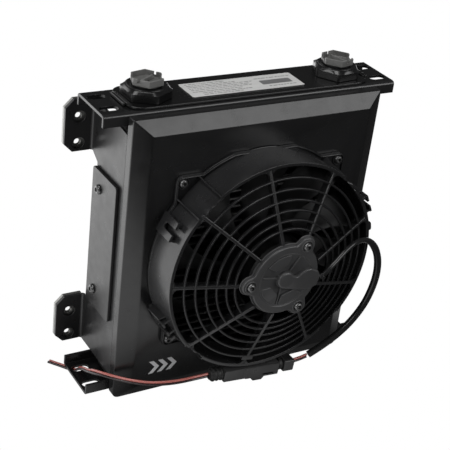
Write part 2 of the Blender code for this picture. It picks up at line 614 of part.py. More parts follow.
def motor_inside(root, rotor):
    """Magnets and brushes on the housing; shaft, armature and commutator on the rotor."""
    for side, middle in (("left", 180), ("right", 0)):
        outline = arc(0, AXIS_Z, 0.0298, middle - 65, middle + 65, 12) \
            + arc(0, AXIS_Z, 0.0262, middle + 65, middle - 65, 12)
        prism(f"{side}_magnet", outline, "XZ", -0.0885, 0.0220, "magnet", root)
    commutator_y, commutator_r = -0.0668, 0.0085
    holder = ring_profile(0.0200, 0.0296, CAN_BACK_Y - 0.0030, CAN_BACK_Y)
    turned("brush_holder", holder, (0, 0, AXIS_Z), (0, 1, 0), "connector", root, 24)
    for side, sign in (("left", -1), ("right", 1)):
        ends = sorted((sign * (commutator_r + 0.0005), sign * 0.0196))
        box(f"{side}_brush", (ends[0], -0.0655, AXIS_Z - 0.0025), (ends[1], -0.0615, AXIS_Z + 0.0025),
            "magnet", root)
    local = (0, 0, 0)
    axis = (0, 1, 0)
    turned("motor_shaft", [(0, -0.0934), (SHAFT_R, -0.0934), (SHAFT_R, -0.0470), (0, -0.0470)],
           local, axis, "steel", rotor, 16)
    bore = SHAFT_R + GAP
    turned("armature", [(bore, -0.0880), (0.0120, -0.0880), (0.0200, -0.0860), (0.0250, -0.0860),
                        (0.0250, -0.0700), (0.0200, -0.0700), (0.0120, -0.0685), (bore, -0.0685)],
           local, axis, "copper", rotor, 24)
    turned("commutator", ring_profile(bore, commutator_r, commutator_y - 0.0010,
                                      commutator_y + 0.0055), local, axis, "copper", rotor, 20)


def impeller(rotor):
    """The cup over the motor with its pitched blades, and the clip that holds it on the shaft."""
    wall, back_y, front_y = 0.0022, -0.0510, -0.0840
    bore = SHAFT_R + GAP
    profile = [(bore, back_y), (CUP_R - 0.002, back_y), (CUP_R, back_y - 0.002), (CUP_R, front_y),
               (CUP_R - wall, front_y), (CUP_R - wall, back_y - 0.0026), (0.0070, back_y - 0.0026),
               (0.0070, back_y - 0.0026), (bore, back_y - 0.0026)]
    cup = turned_bmesh(profile, (0, 0, 0), (0, 1, 0), 30)
    made = finish_object(add_object("impeller", cup), "fan_plastic", rotor)
    for i in range(BLADES):
        combine(made, helper("blade_shape", blade(2 * math.pi * i / BLADES), rotor), "UNION")
    turned("impeller_clip", ring_profile(bore, 0.0060, back_y + GAP, back_y + 0.0022), (0, 0, 0),
           (0, 1, 0), "steel", rotor, 16)


def blade(phase):
    """One blade: flat sections whose pitch falls from root to tip, swept back with radius."""
    middle_y, thick, stations = -0.0600, 0.0018, 4
    bm = bmesh.new()
    rings = []
    for k in range(stations + 1):
        share = k / stations
        radius = CUP_R - 0.0012 + (TIP_R - CUP_R + 0.0012) * share
        chord = 0.0210 + 0.0130 * share
        pitch = math.radians(48 - 20 * share)
        lean = phase - math.radians(16) * share ** 1.4
        ring = []
        for along, side in ((-0.5, -0.5), (0.5, -0.5), (0.5, 0.5), (-0.5, 0.5)):
            arc_length = along * chord * math.cos(pitch) - side * thick * math.sin(pitch)
            y = middle_y + along * chord * math.sin(pitch) + side * thick * math.cos(pitch)
            angle = lean + arc_length / radius
            ring.append(bm.verts.new((radius * math.cos(angle), y, radius * math.sin(angle))))
        rings.append(ring)
    bm.faces.new(rings[0])
    bm.faces.new(rings[-1])
    for here, there in zip(rings, rings[1:]):
        bridge(bm, here, there)
    bmesh.ops.triangulate(bm, faces=bm.faces)
    return bm


# ---------------------------------------------------------------- wiring
SLEEVE_R, WIRE_R, WIRE_APART = 0.0034, 0.0011, 0.0013
CONNECTOR_AT, CONNECTOR_TILT = (0.0, -0.0745, 0.0300), math.radians(5.0)

# Routes chosen by hand, measured like every other piece from the core's mid-plane and from the
# surface that the cooler stands on. The sleeve runs from the hub over the guard and around below it.
SLEEVE_ROUTE = [(0.0366, -0.0992, 0.1316), (0.0419, -0.0995, 0.1365), (0.0475, -0.0989, 0.1410),
                (0.0540, -0.0970, 0.1448), (0.0605, -0.0949, 0.1484), (0.0680, -0.0924, 0.1515),
                (0.0770, -0.0897, 0.1535), (0.0880, -0.0867, 0.1521), (0.0980, -0.0846, 0.1463),
                (0.1056, -0.0835, 0.1372), (0.1103, -0.0827, 0.1276), (0.1128, -0.0822, 0.1182),
                (0.1138, -0.0817, 0.1089), (0.1138, -0.0809, 0.0999), (0.1128, -0.0801, 0.0912),
                (0.1109, -0.0795, 0.0830), (0.1082, -0.0789, 0.0754), (0.1047, -0.0783, 0.0684),
                (0.1003, -0.0779, 0.0619), (0.0953, -0.0776, 0.0560), (0.0897, -0.0773, 0.0507),
                (0.0836, -0.0771, 0.0459), (0.0772, -0.0767, 0.0415), (0.0706, -0.0763, 0.0374),
                (0.0638, -0.0759, 0.0337), (0.0569, -0.0755, 0.0302)]
# The middle between the red and the black wire, first the short pair into the socket.
LEAD_ROUTE = [(0.0552, -0.0754, 0.0294), (0.0525, -0.0752, 0.0287), (0.0490, -0.0749, 0.0277),
              (0.0450, -0.0746, 0.0270), (0.0400, -0.0745, 0.0265)]
SUPPLY_ROUTE = [(-0.0494, -0.0745, 0.0343), (-0.0550, -0.0748, 0.0346), (-0.0610, -0.0746, 0.0346),
                (-0.0670, -0.0740, 0.0342), (-0.0730, -0.0729, 0.0335), (-0.0790, -0.0712, 0.0326),
                (-0.0850, -0.0688, 0.0316), (-0.0908, -0.0660, 0.0306), (-0.0964, -0.0628, 0.0297),
                (-0.1018, -0.0592, 0.0290), (-0.1072, -0.0551, 0.0286), (-0.1124, -0.0507, 0.0283),
                (-0.1172, -0.0460, 0.0280), (-0.1216, -0.0408, 0.0275), (-0.1256, -0.0350, 0.0266),
                (-0.1288, -0.0287, 0.0251), (-0.1310, -0.0220, 0.0227), (-0.1324, -0.0150, 0.0195),
                (-0.1331, -0.0080, 0.0158), (-0.1335, -0.0005, 0.0128), (-0.1337, 0.0050, 0.0097),
                (-0.1338, 0.0094, 0.0062), (-0.1340, 0.0122, 0.0033), (-0.1355, 0.0152, 0.0013),
                (-0.1389, 0.0196, 0.00125), (-0.1429, 0.0249, 0.00125), (-0.1472, 0.0304, 0.00125),
                (-0.1515, 0.0358, 0.00125)]


def pair_route(route, sign, turn_from=-0.030, turn_to=-0.006):
    """One wire of a pair: above or below the middle line, and beside it where the pair lies flat."""
    upright, flat = Vector((0, 0, 1)), Vector((0.84, 0.54, 0))
    wire = []
    for point in route:
        share = min(1.0, max(0.0, (point[1] - turn_from) / (turn_to - turn_from)))
        direction = upright.lerp(flat, share).normalized()
        wire.append(Vector(point) + direction * (sign * WIRE_APART))
    return wire


def smooth_points(route, per_span):
    """Catmull-Rom points through a route."""
    knots = [Vector(p) for p in route]
    knots = [2 * knots[0] - knots[1]] + knots + [2 * knots[-1] - knots[-2]]
    points = []
    for a, b, c, d in zip(knots, knots[1:], knots[2:], knots[3:]):
        for i in range(per_span):
            t = i / per_span
            points.append(0.5 * (2 * b + (c - a) * t + (2 * a - 5 * b + 4 * c - d) * t ** 2
                                 + (3 * b - a - 3 * c + d) * t ** 3))
    points.append(knots[-2])
    return points


def tube(name, route, radius, finish, parent, per_span=1, resolution=2):
    curve = bpy.data.curves.new(name, "CURVE")
    curve.dimensions = "3D"
    curve.bevel_depth = radius
    curve.bevel_resolution = resolution
    curve.use_fill_caps = True
    points = smooth_points(route, per_span)
    spline = curve.splines.new("POLY")
    spline.points.add(len(points) - 1)
    for slot, point in zip(spline.points, points):
        slot.co = (*point, 1.0)
    made = bpy.data.objects.new(name, curve)
    bpy.context.scene.collection.objects.link(made)
    return finish_object(made, finish, parent)


def wiring(root):
    """The sleeved motor lead, the short pair into the socket and the bare-ended supply pair."""
    tube("lead_sleeve", SLEEVE_ROUTE, SLEEVE_R, "sleeve", root)
    for colour, sign in (("red", 1), ("black", -1)):
        finish = f"{colour}_wire"
        tube(f"lead_wire_{colour}", pair_route(LEAD_ROUTE, sign), WIRE_R, finish, root)
        tube(f"supply_wire_{colour}", pair_route(SUPPLY_ROUTE, sign), WIRE_R, finish, root)


def connectors(root):
    """Plug and socket under the fan, with the plug's wire seal and the ring on the socket's neck."""
    axis = bpy.data.objects.new("connector_axis", None)
    bpy.context.scene.collection.objects.link(axis)
    axis.parent = root
    axis.location = CONNECTOR_AT
    axis.rotation_euler = (0, CONNECTOR_TILT, 0)
    deep, tall, face = 0.0075, 0.0062, 0.0215
    shell = [(-0.0360, -0.0056), (-0.0130, -0.0056), (-0.0130, -tall), (-0.0065, -tall),
             (-0.0035, -0.0108), (0.0060, -0.0108), (0.0100, -tall), (face, -tall), (face, 0.0050),
             (0.0120, tall), (-0.0130, 0.0056), (-0.0360, 0.0056)]
    prism("connector_plug", shell, "XZ", -deep, 2 * deep, "connector", axis)
    neck = turned_bmesh([(0, 0), (0.0042, 0), (0.0042, 0.0075), (0, 0.0075)], (face + GAP, 0, 0),
                        (1, 0, 0), 16)
    socket = finish_object(add_object("connector_socket", neck), "connector", axis)
    head = box_bmesh((face + 0.0060, -0.0066, -0.0056), (face + 0.0170, 0.0066, 0.0056))
    combine(socket, helper("socket_head_shape", head, axis), "UNION")
    turned("connector_ring", ring_profile(0.0045, 0.0058, 0.0012, 0.0048), (face + GAP, 0, 0),
           (1, 0, 0), "rubber", axis, 16)
    ribs = [(0, 0)]
    for i in range(3):
        start = 0.0040 * i
        ribs += [(0.0064, start), (0.0064, start + 0.0020), (0.0052, start + 0.0026),
                 (0.0052, start + 0.0040)]
    turned("connector_seal", ribs + [(0, 0.0120)], (-0.0363, 0, 0), (-1, 0, 0), "rubber", axis, 16)


# ---------------------------------------------------------------- assembly
def build():
    clear_scene()
    root = bpy.data.objects.new("assembly_datum", None)
    bpy.context.scene.collection.objects.link(root)
    root.location = (0, DATUM_Y, 0)
    rotor = bpy.data.objects.new("rotor_axis", None)
    bpy.context.scene.collection.objects.link(rotor)
    rotor.parent = root
    rotor.location = (0, 0, AXIS_Z)
    core_matrix(root)
    headers(root)
    channels(root)
    end_plates(root)
    ports(root)
    fan_shroud(root)
    side_plates(root)
    nut_plates(root)
    cover_panels(root)
    fan_frame(root)
    guard_grille(root)
    fan_screws(root)
    motor_housing(root)
    motor_inside(root, rotor)
    impeller(rotor)
    wiring(root)
    connectors(root)
    bpy.context.view_layer.update()


build()
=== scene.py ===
"""Looks of the hydraulic oil cooler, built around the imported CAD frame.

All shapes are placed from the core's mid-plane (y = 0 there) and the surface that the cooler
stands on, in metres, as the CAD's own pieces are; `piece` then moves each one to the frame.
"""
import math
import random

import bmesh
import bpy
from mathutils import Matrix, Vector


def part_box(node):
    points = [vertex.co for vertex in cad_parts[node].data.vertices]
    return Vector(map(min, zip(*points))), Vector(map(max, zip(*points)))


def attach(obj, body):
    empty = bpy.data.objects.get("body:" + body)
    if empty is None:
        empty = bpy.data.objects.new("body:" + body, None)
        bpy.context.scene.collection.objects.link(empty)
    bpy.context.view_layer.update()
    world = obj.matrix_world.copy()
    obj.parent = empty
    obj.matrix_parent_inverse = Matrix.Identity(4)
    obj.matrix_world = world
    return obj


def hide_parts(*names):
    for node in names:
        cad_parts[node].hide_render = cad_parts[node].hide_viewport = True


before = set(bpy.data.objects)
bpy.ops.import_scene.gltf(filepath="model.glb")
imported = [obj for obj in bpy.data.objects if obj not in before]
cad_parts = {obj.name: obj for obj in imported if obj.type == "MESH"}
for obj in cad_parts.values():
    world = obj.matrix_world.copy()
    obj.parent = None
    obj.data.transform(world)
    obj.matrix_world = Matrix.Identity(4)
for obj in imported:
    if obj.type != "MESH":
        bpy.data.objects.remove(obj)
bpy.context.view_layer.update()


def middle(node):
    """The middle of a CAD node's box."""
    low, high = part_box(node)
    return (low + high) / 2


CORE_Y = middle("core_base_plate").y
AXIS_Z = middle("motor_can").z
GAP = 0.0003
TO_FRAME = Matrix.Translation((0, CORE_Y, 0))

# ------------------------------ dimensions, as in the CAD
PAD, SHEET, TOP = 0.0024, 0.0025, 0.2708
CHANNEL_HALF, CHANNEL_DEEP, CHANNEL_FLANGE, CHANNEL_BEND = 0.1415, 0.025, 0.0105, 0.003
MATRIX_HALF, ROWS, TUBE_HEIGHT = 0.0735, 34, 0.0030
TUBE_DEPTH, FIN_DEPTH = 0.042, 0.0396
SHROUD_HALF, SHROUD_TOP, FRONT_Y = 0.120, 0.2687, -0.0420
EAR_Y, EAR_HEIGHT, EAR_OUT = 0.0380, 0.0475, 0.1455
EAR_LEVELS = {"lower": 0.0190, "upper": 0.2108}
EAR_HOLE_X, EAR_HOLE_RISES = 0.1325, (0.0075, 0.0315)
COVER_SHEET, COVER_SCREW_Y, COVER_SCREWS = 0.0027, 0.0130, {"lower": -0.0490, "upper": 0.0490}
PORT_X, PORT_R, BOSS_HEIGHT, SEAL_HEIGHT = 0.0930, 0.0104, 0.0092, 0.0010
SKIRT_IN, SKIRT_OUT, GUARD_Y = 0.0960, 0.0995, -0.0800
FLANGE_FACE, FLANGE_R, LUG_R, LUGS = -0.0453, 0.1006, 0.1080, (45, 135, 225, 315)
BOLT_HOLE_R = 0.0024
HUB_R, HUB_FACE_Y, HUB_LUG_R, HUB_LUGS = 0.0345, -0.1000, 0.0340, (60, 180, 300)
CUP_R, TIP_R, BLADES = 0.0390, 0.0935, 10


# ------------------------------ outlines (lists of 2-D points)
def on_circle(cx, cy, radius, degrees):
    """The point on a circle at that angle."""
    turn = math.radians(degrees)
    return cx + radius * math.cos(turn), cy + radius * math.sin(turn)


def arc(cx, cy, radius, start, end, count):
    """Points on an arc, angles in degrees, both ends included."""
    return [on_circle(cx, cy, radius, start + (end - start) * i / count) for i in range(count + 1)]


def circle(cx, cy, radius, count=32, phase=0.0):
    """A closed circle or regular polygon."""
    return arc(cx, cy, radius, phase, phase + 360, count)[:-1]


def rectangle(x0, y0, x1, y1):
    """Four corners, anticlockwise from the lowest."""
    return [(x0, y0), (x1, y0), (x1, y1), (x0, y1)]


def stadium(cx, cy, length, width, count=10):
    """A slot with round ends."""
    reach = (length - width) / 2
    return (arc(cx + reach, cy, width / 2, -90, 90, count)
            + arc(cx - reach, cy, width / 2, 90, 270, count))


def rounded(points, radius, steps=4):
    """The closed outline with its corners rounded."""
    made = []
    count = len(points)
    for i, point in enumerate(points):
        corner = Vector(point)
        back = Vector(points[i - 1]) - corner
        ahead = Vector(points[(i + 1) % count]) - corner
        if back.length < 1e-9 or ahead.length < 1e-9:
            continue
        angle = back.angle(ahead)
        if angle > math.radians(172) or radius <= 0:
            made.append(tuple(corner))
            continue
        cut = min(radius / math.tan(angle / 2), 0.45 * back.length, 0.45 * ahead.length)
        first, last = corner + back.normalized() * cut, corner + ahead.normalized() * cut
        for k in range(steps + 1):
            t = k / steps
            made.append(tuple(first * (1 - t) ** 2 + corner * (2 * t * (1 - t)) + last * t ** 2))
    return made


def area(loop):
    """The signed area of an outline."""
    return sum(a[0] * b[1] - b[0] * a[1] for a, b in zip(loop, loop[1:] + loop[:1])) / 2


def inset(loop, distance):
    """The outline moved inwards by a distance (outwards if it is negative)."""
    if area(loop) < 0:
        loop = loop[::-1]
    made = []
    count = len(loop)
    for i in range(count):
        a, b, c = Vector(loop[i - 1]), Vector(loop[i]), Vector(loop[(i + 1) % count])
        first, second = (b - a).normalized(), (c - b).normalized()
        normal = Vector((-first.y - second.y, first.x + second.x))
        if normal.length < 1e-9:
            made.append(tuple(b))
            continue
        normal.normalize()
        cosine = max(0.35, normal.dot(Vector((-first.y, first.x))))
        made.append(tuple(b + normal * (distance / cosine)))
    return made


PLANES = {
    "XY": (Vector((1, 0, 0)), Vector((0, 1, 0)), Vector((0, 0, 1))),
    "XZ": (Vector((1, 0, 0)), Vector((0, 0, 1)), Vector((0, 1, 0))),
    "YZ": (Vector((0, 1, 0)), Vector((0, 0, 1)), Vector((1, 0, 0))),
}


# ------------------------------ mesh builders
def bridge(bm, here, there):
    """Faces between two rings of as many points."""
    count = len(here)
    for i in range(count):
        following = (i + 1) % count
        bm.faces.new((here[i], here[following], there[following], there[i]))


def plate(outline, holes, plane, start, thickness, edge=0.0005, steps=2):
    """A flat plate with holes whose edges are all rounded over by `edge`."""
    u, v, normal = PLANES[plane]
    bm = bmesh.new()
    levels = []
    for k in range(steps + 1):
        turn = k / steps * math.pi / 2
        levels.append((edge * (1 - math.sin(turn)), edge * (1 - math.cos(turn))))
    levels += [(shrink, thickness - level) for shrink, level in reversed(levels)]
    caps = ([], [])
    for loop, sign in [(outline, 1)] + [(hole, -1) for hole in holes]:
        rings = []
        for shrink, level in levels:
            rings.append([bm.verts.new(u * a + v * b + normal * (start + level))
                          for a, b in inset(loop, sign * shrink)])
        for here, there in zip(rings, rings[1:]):
            bridge(bm, here, there)
        caps[0].append(rings[0])
        caps[1].append(rings[-1])
    for cap in caps:
        edges = [bm.edges.get((ring[i - 1], ring[i])) for ring in cap for i in range(len(ring))]
        bmesh.ops.triangle_fill(bm, use_beauty=True, use_dissolve=False, edges=edges)
    return bm


def loft(rings, caps=True):
    """A skin over rings of points, with its two ends closed."""
    bm = bmesh.new()
    loops = [[bm.verts.new(point) for point in ring] for ring in rings]
    for here, there in zip(loops, loops[1:]):
        bridge(bm, here, there)
    if caps:
        bm.faces.new(loops[0][::-1])
        bm.faces.new(loops[-1])
    return bm


def lathe(profile, centre, axis, segments=48):
    """Turn a closed profile of (radius, distance along the axis) points about an axis."""
    direction = Vector(axis).normalized()
    side = direction.orthogonal().normalized()
    bm = bmesh.new()
    rings = []
    for i in range(segments):
        spin = Matrix.Rotation(2 * math.pi * i / segments, 3, direction)
        rings.append([bm.verts.new(Vector(centre) + spin @ (side * r) + direction * s)
                      for r, s in profile])
    for here, there in zip(rings, rings[1:] + rings[:1]):
        bridge(bm, here, there)
    bmesh.ops.remove_doubles(bm, verts=bm.verts, dist=1e-7)
    loose = [face for face in bm.faces if face.calc_area() < 1e-14]
    bmesh.ops.delete(bm, geom=loose, context="FACES")
    return bm


def bar(start, end, across, width, depth, edge=0.0006, end_scale=1.0):
    """A straight bar with rounded edges; `across` is the direction of its width."""
    start, end = Vector(start), Vector(end)
    along = (end - start).normalized()
    across = (Vector(across) - along * along.dot(Vector(across))).normalized()
    deep = along.cross(across).normalized()
    section = rounded(rectangle(-width / 2, -depth / 2, width / 2, depth / 2), edge, 3)
    rings = []
    length = (end - start).length
    nose = min(edge, length / 4)
    stations = [(0.0, nose * 0.8), (nose * 0.3, nose * 0.25), (nose, 0.0), (length - nose, 0.0),
                (length - nose * 0.3, nose * 0.25), (length, nose * 0.8)]
    for at, shrink in stations:
        scale = 1 + (end_scale - 1) * at / length
        rings.append([start + along * at + across * (a * scale) + deep * (b * scale)
                      for a, b in inset(section, shrink)])
    return loft(rings)


def about_motor(profile, segments=72):
    """A profile turned about the motor's axis."""
    return lathe(profile, (0, 0, AXIS_Z), (0, 1, 0), segments)


def turned_to(bm, matrix):
    """The same shape, moved and turned."""
    bmesh.ops.transform(bm, matrix=matrix, verts=bm.verts)
    return bm


def mesh_of(bm, name):
    """The finished mesh of a bmesh, which is freed."""
    mesh = bpy.data.meshes.new(name)
    bm.to_mesh(mesh)
    bm.free()
    return mesh


def placed(name, data):
    """A new object with that data, linked into the scene."""
    made = bpy.data.objects.new(name, data)
    bpy.context.scene.collection.objects.link(made)
    return made


def joined(parts):
    """All the shapes in one bmesh, each with its faces turned outwards."""
    whole = bmesh.new()
    for part in parts:
        bmesh.ops.recalc_face_normals(part, faces=part.faces)
        mesh = mesh_of(part, "part")
        whole.from_mesh(mesh)
        bpy.data.meshes.remove(mesh)
    return whole


def carved(body, cutters):
    """The body with the cutters taken out of it."""
    made = []
    for bm in [body] + cutters:
        bmesh.ops.recalc_face_normals(bm, faces=bm.faces)
        made.append(placed("step", mesh_of(bm, "step")))
    for tool in made[1:]:
        step = made[0].modifiers.new("cut", "BOOLEAN")
        step.operation = "DIFFERENCE"
        step.solver = "EXACT"
        step.object = tool
    graph = bpy.context.evaluated_depsgraph_get()
    result = bmesh.new()
    result.from_object(made[0], graph)
    for old in made:
        mesh = old.data
        bpy.data.objects.remove(old)
        bpy.data.meshes.remove(mesh)
    bmesh.ops.dissolve_limit(result, angle_limit=math.radians(0.5), verts=result.verts,
                             edges=result.edges)
    return result


def polar(radius, degrees, y):
    """A point at a radius and angle (from +X towards +Z) about the motor axis."""
    x, z = on_circle(0, AXIS_Z, radius, degrees)
    return Vector((x, y, z))


def bolt_circle(radius, degrees, hole, count):
    """Round holes at those angles about the motor axis."""
    return [circle(*polar(radius, angle, 0).xz, hole, count) for angle in degrees]


def around(degrees):
    """The direction along the rim at that angle."""
    turn = math.radians(degrees)
    return Vector((-math.sin(turn), 0, math.cos(turn)))


# ------------------------------ pieces
def dress(made, material, body, replaces):
    """Give a piece its finish, its body and the CAD nodes that it stands for."""
    made.data.materials.clear()
    made.data.materials.append(material)
    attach(made, body)
    if replaces:
        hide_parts(*replaces)
    return made


def piece(name, parts, material, body="cooler", replaces=(), sharp=38):
    """One finished object from its closed shapes."""
    bm = joined(parts)
    bmesh.ops.transform(bm, matrix=TO_FRAME, verts=bm.verts)
    mesh = mesh_of(bm, name)
    made = placed(name, mesh)
    mesh.shade_smooth()
    mesh.set_sharp_from_angle(angle=math.radians(sharp))
    even = made.modifiers.new("even_shading", "WEIGHTED_NORMAL")
    even.keep_sharp = True
    even.weight = 80
    return dress(made, material, body, replaces)


# ------------------------------ materials
def node(tree, kind, **values):
    """A new shader node with its settings."""
    made = tree.nodes.new(kind)
    for name, value in values.items():
        setattr(made, name, value)
    return made


def maths(tree, operation, value, other):
    """A math node on a link and either a link or a number."""
    made = node(tree, "ShaderNodeMath", operation=operation)
    tree.links.new(value, made.inputs[0])
    if isinstance(other, float):
        made.inputs[1].default_value = other
    else:
        tree.links.new(other, made.inputs[1])
    return made.outputs["Value"]


def distance_along(tree, where, direction):
    """How far a position lies along a direction."""
    made = node(tree, "ShaderNodeVectorMath", operation="DOT_PRODUCT")
    made.inputs[1].default_value = direction
    tree.links.new(where, made.inputs[0])
    return made.outputs["Value"]


def noise(tree, where, scale, detail, roughness):
    """Soft noise over a position."""
    made = node(tree, "ShaderNodeTexNoise")
    made.inputs["Scale"].default_value = scale
    made.inputs["Detail"].default_value = detail
    made.inputs["Roughness"].default_value = roughness
    tree.links.new(where, made.inputs["Vector"])
    return made.outputs["Fac"]


def spread(tree, value, low, high, new_low, new_high):
    """A value stretched from one range to another."""
    made = node(tree, "ShaderNodeMapRange")
    made.inputs["From Min"].default_value = low
    made.inputs["From Max"].default_value = high
    made.inputs["To Min"].default_value = new_low
    made.inputs["To Max"].default_value = new_high
    tree.links.new(value, made.inputs["Value"])
    return made.outputs["Result"]


def mixed(tree, share, first, second):
    """A colour between two colours, each a link or three numbers."""
    made = node(tree, "ShaderNodeMix", data_type="RGBA")
    for socket, value in ((made.inputs["Factor"], share), (made.inputs["A"], first),
                          (made.inputs["B"], second)):
        if isinstance(value, bpy.types.NodeSocket):
            tree.links.new(value, socket)
        else:
            socket.default_value = (*value, 1.0)
    return made.outputs["Result"]


def bumped(tree, height, distance, under=None):
    """The normal of a relief, laid over another one."""
    made = node(tree, "ShaderNodeBump")
    made.inputs["Distance"].default_value = distance
    made.inputs["Strength"].default_value = 1.0
    tree.links.new(height, made.inputs["Height"])
    if under is not None:
        tree.links.new(under, made.inputs["Normal"])
    return made.outputs["Normal"]


def surface(name, tone, other_tone, rough, rough_spread=0.06, metallic=0.0, grain=900, grain_height=0.00002,
            wave=70, wave_height=0.00001, patch=18, edge_highlight_tone=None, edge_highlight_share=0.5, specular=0.5,
            coat=0.0, stretch=(1, 1, 1)):
    """A procedural finish: two tones in soft patches, fine grain, slow waviness and edges made paler by a
    painted highlight.
    """
    made = bpy.data.materials.new(name)
    made.use_nodes = True
    tree = made.node_tree
    shader = tree.nodes["Principled BSDF"]
    place = node(tree, "ShaderNodeTexCoord")
    scale = node(tree, "ShaderNodeMapping")
    scale.inputs["Scale"].default_value = stretch
    tree.links.new(place.outputs["Object"], scale.inputs["Vector"])
    where = scale.outputs["Vector"]
    patches = noise(tree, where, patch, 4.0, 0.6)
    colour = mixed(tree, spread(tree, patches, 0.35, 0.65, 0.0, 1.0), tone, other_tone)
    # painted highlight: sharp edges, found by pointiness, are mixed towards a paler tone
    if edge_highlight_tone:
        shape = node(tree, "ShaderNodeNewGeometry")
        painted_edge_highlight = spread(tree, shape.outputs["Pointiness"], 0.51, 0.58, 0.0, edge_highlight_share)
        colour = mixed(tree, painted_edge_highlight, colour, edge_highlight_tone)
    tree.links.new(colour, shader.inputs["Base Color"])
    fine = noise(tree, where, grain, 2.0, 0.5)
    slow = noise(tree, where, wave, 2.0, 0.5)
    roughness = spread(tree, noise(tree, where, patch * 5, 3.0, 0.6), 0.3, 0.7,
                       rough - rough_spread, rough + rough_spread)
    tree.links.new(roughness, shader.inputs["Roughness"])
    relief = bumped(tree, slow, wave_height)
    relief = bumped(tree, fine, grain_height, under=relief)
    tree.links.new(relief, shader.inputs["Normal"])
    shader.inputs["Metallic"].default_value = metallic
    shader.inputs["Specular IOR Level"].default_value = specular
    shader.inputs["Coat Weight"].default_value = coat
    shader.inputs["Coat Roughness"].default_value = 0.15
    return made


COAT = surface("powder_coat", (0.0036, 0.0036, 0.0038), (0.0050, 0.0050, 0.0052), 0.24, 0.04, grain=900,
               grain_height=0.000008, wave=120, wave_height=0.000012, edge_highlight_tone=(0.04, 0.04, 0.041),
               edge_highlight_share=0.35)
CORE_COAT = surface("core_paint", (0.0040, 0.0040, 0.0042), (0.0062, 0.0062, 0.0064), 0.44, grain=500,
                    grain_height=0.00003, wave=90, edge_highlight_tone=(0.04, 0.04, 0.04))
BRACKET_COAT = surface("bracket_coat", (0.0060, 0.0060, 0.0061), (0.0085, 0.0085, 0.0087), 0.32, grain=800,
                       grain_height=0.000015, wave=90, edge_highlight_tone=(0.05, 0.05, 0.052))
FAN_PLASTIC = surface("moulded_plastic", (0.009, 0.009, 0.0094), (0.013, 0.013, 0.0136), 0.24, 0.05,
                      grain=1500, grain_height=0.000008, wave=60, wave_height=0.00002,
                      edge_highlight_tone=(0.04, 0.04, 0.041), edge_highlight_share=0.4)
# painted shade: the blades are darker than the frame's plastic, standing in for the shade inside the shroud
SHADED_BLADE_PLASTIC = surface("shaded_blade_plastic", (0.0040, 0.0040, 0.0042), (0.0060, 0.0060, 0.0062), 0.40, 0.05,
                        grain=1300, grain_height=0.000012, wave=50, specular=0.25)
PLUG_PLASTIC = surface("connector_plastic", (0.016, 0.016, 0.0165), (0.023, 0.023, 0.0235), 0.34, 0.07,
                       grain=1800, grain_height=0.000015, wave=120, edge_highlight_tone=(0.08, 0.08, 0.08))
GREY_CAP = surface("grey_cap_plastic", (0.105, 0.105, 0.102), (0.145, 0.145, 0.14), 0.42, 0.08, grain=1400,
                   grain_height=0.00003, wave=200, wave_height=0.00003, patch=60,
                   edge_highlight_tone=(0.24, 0.24, 0.235))
RUBBER = surface("seal_rubber", (0.010, 0.010, 0.010), (0.018, 0.018, 0.018), 0.55, 0.08, grain=1600,
                 grain_height=0.00003, specular=0.4)
ZINC = surface("zinc_plate", (0.20, 0.20, 0.195), (0.28, 0.28, 0.27), 0.36, 0.10, metallic=0.85, grain=1100,
               grain_height=0.00002, patch=90, edge_highlight_tone=(0.5, 0.5, 0.48))
DARK_SCREW = surface("black_oxide", (0.06, 0.06, 0.06), (0.10, 0.10, 0.10), 0.30, 0.08, metallic=0.8,
                     grain=1500, patch=200, edge_highlight_tone=(0.3, 0.3, 0.3))
STEEL = surface("bright_steel", (0.07, 0.07, 0.07), (0.11, 0.11, 0.11), 0.30, 0.08, metallic=0.8,
                grain=1200, grain_height=0.00001, patch=150, edge_highlight_tone=(0.4, 0.4, 0.4), stretch=(1, 6, 1))
CERAMIC = surface("dark_ceramic", (0.06, 0.06, 0.065), (0.09, 0.09, 0.095), 0.7, 0.08, grain=1200,
                  grain_height=0.00004)
COPPER = surface("copper_winding", (0.50, 0.24, 0.12), (0.62, 0.31, 0.17), 0.36, 0.08, metallic=0.9,
                 grain=900, grain_height=0.00004, stretch=(1, 8, 1))
RED_WIRE = surface("red_insulation", (0.46, 0.135, 0.115), (0.52, 0.165, 0.14), 0.28, 0.05, grain=900,
                   grain_height=0.00001, coat=0.3)
BLACK_WIRE = surface("black_insulation", (0.020, 0.011, 0.012), (0.030, 0.018, 0.019), 0.28, 0.05,
                     grain=900, grain_height=0.00001, coat=0.3)
LABEL = surface("label_film", (0.66, 0.66, 0.65), (0.72, 0.72, 0.71), 0.36, 0.05, grain=2500,
                grain_height=0.000005, stretch=(1, 12, 1))
PRINT = surface("label_ink", (0.16, 0.16, 0.162), (0.22, 0.22, 0.222), 0.5, grain=2000,
                grain_height=0.000005)
HUB_PLASTIC = surface("hub_plastic", (0.048, 0.048, 0.0488), (0.062, 0.062, 0.063), 0.34, 0.05, grain=1300,
                      grain_height=0.000015, wave=80, wave_height=0.00002, edge_highlight_tone=(0.10, 0.10, 0.102),
                      edge_highlight_share=0.5)
MARK = surface("white_ink", (0.62, 0.62, 0.63), (0.70, 0.70, 0.71), 0.45, grain=1500, grain_height=0.00001)
SLEEVE = surface("sleeve_wrap", (0.012, 0.012, 0.0122), (0.018, 0.018, 0.0185), 0.20, 0.04, grain=700,
                 grain_height=0.00002, wave=260, wave_height=0.00003)


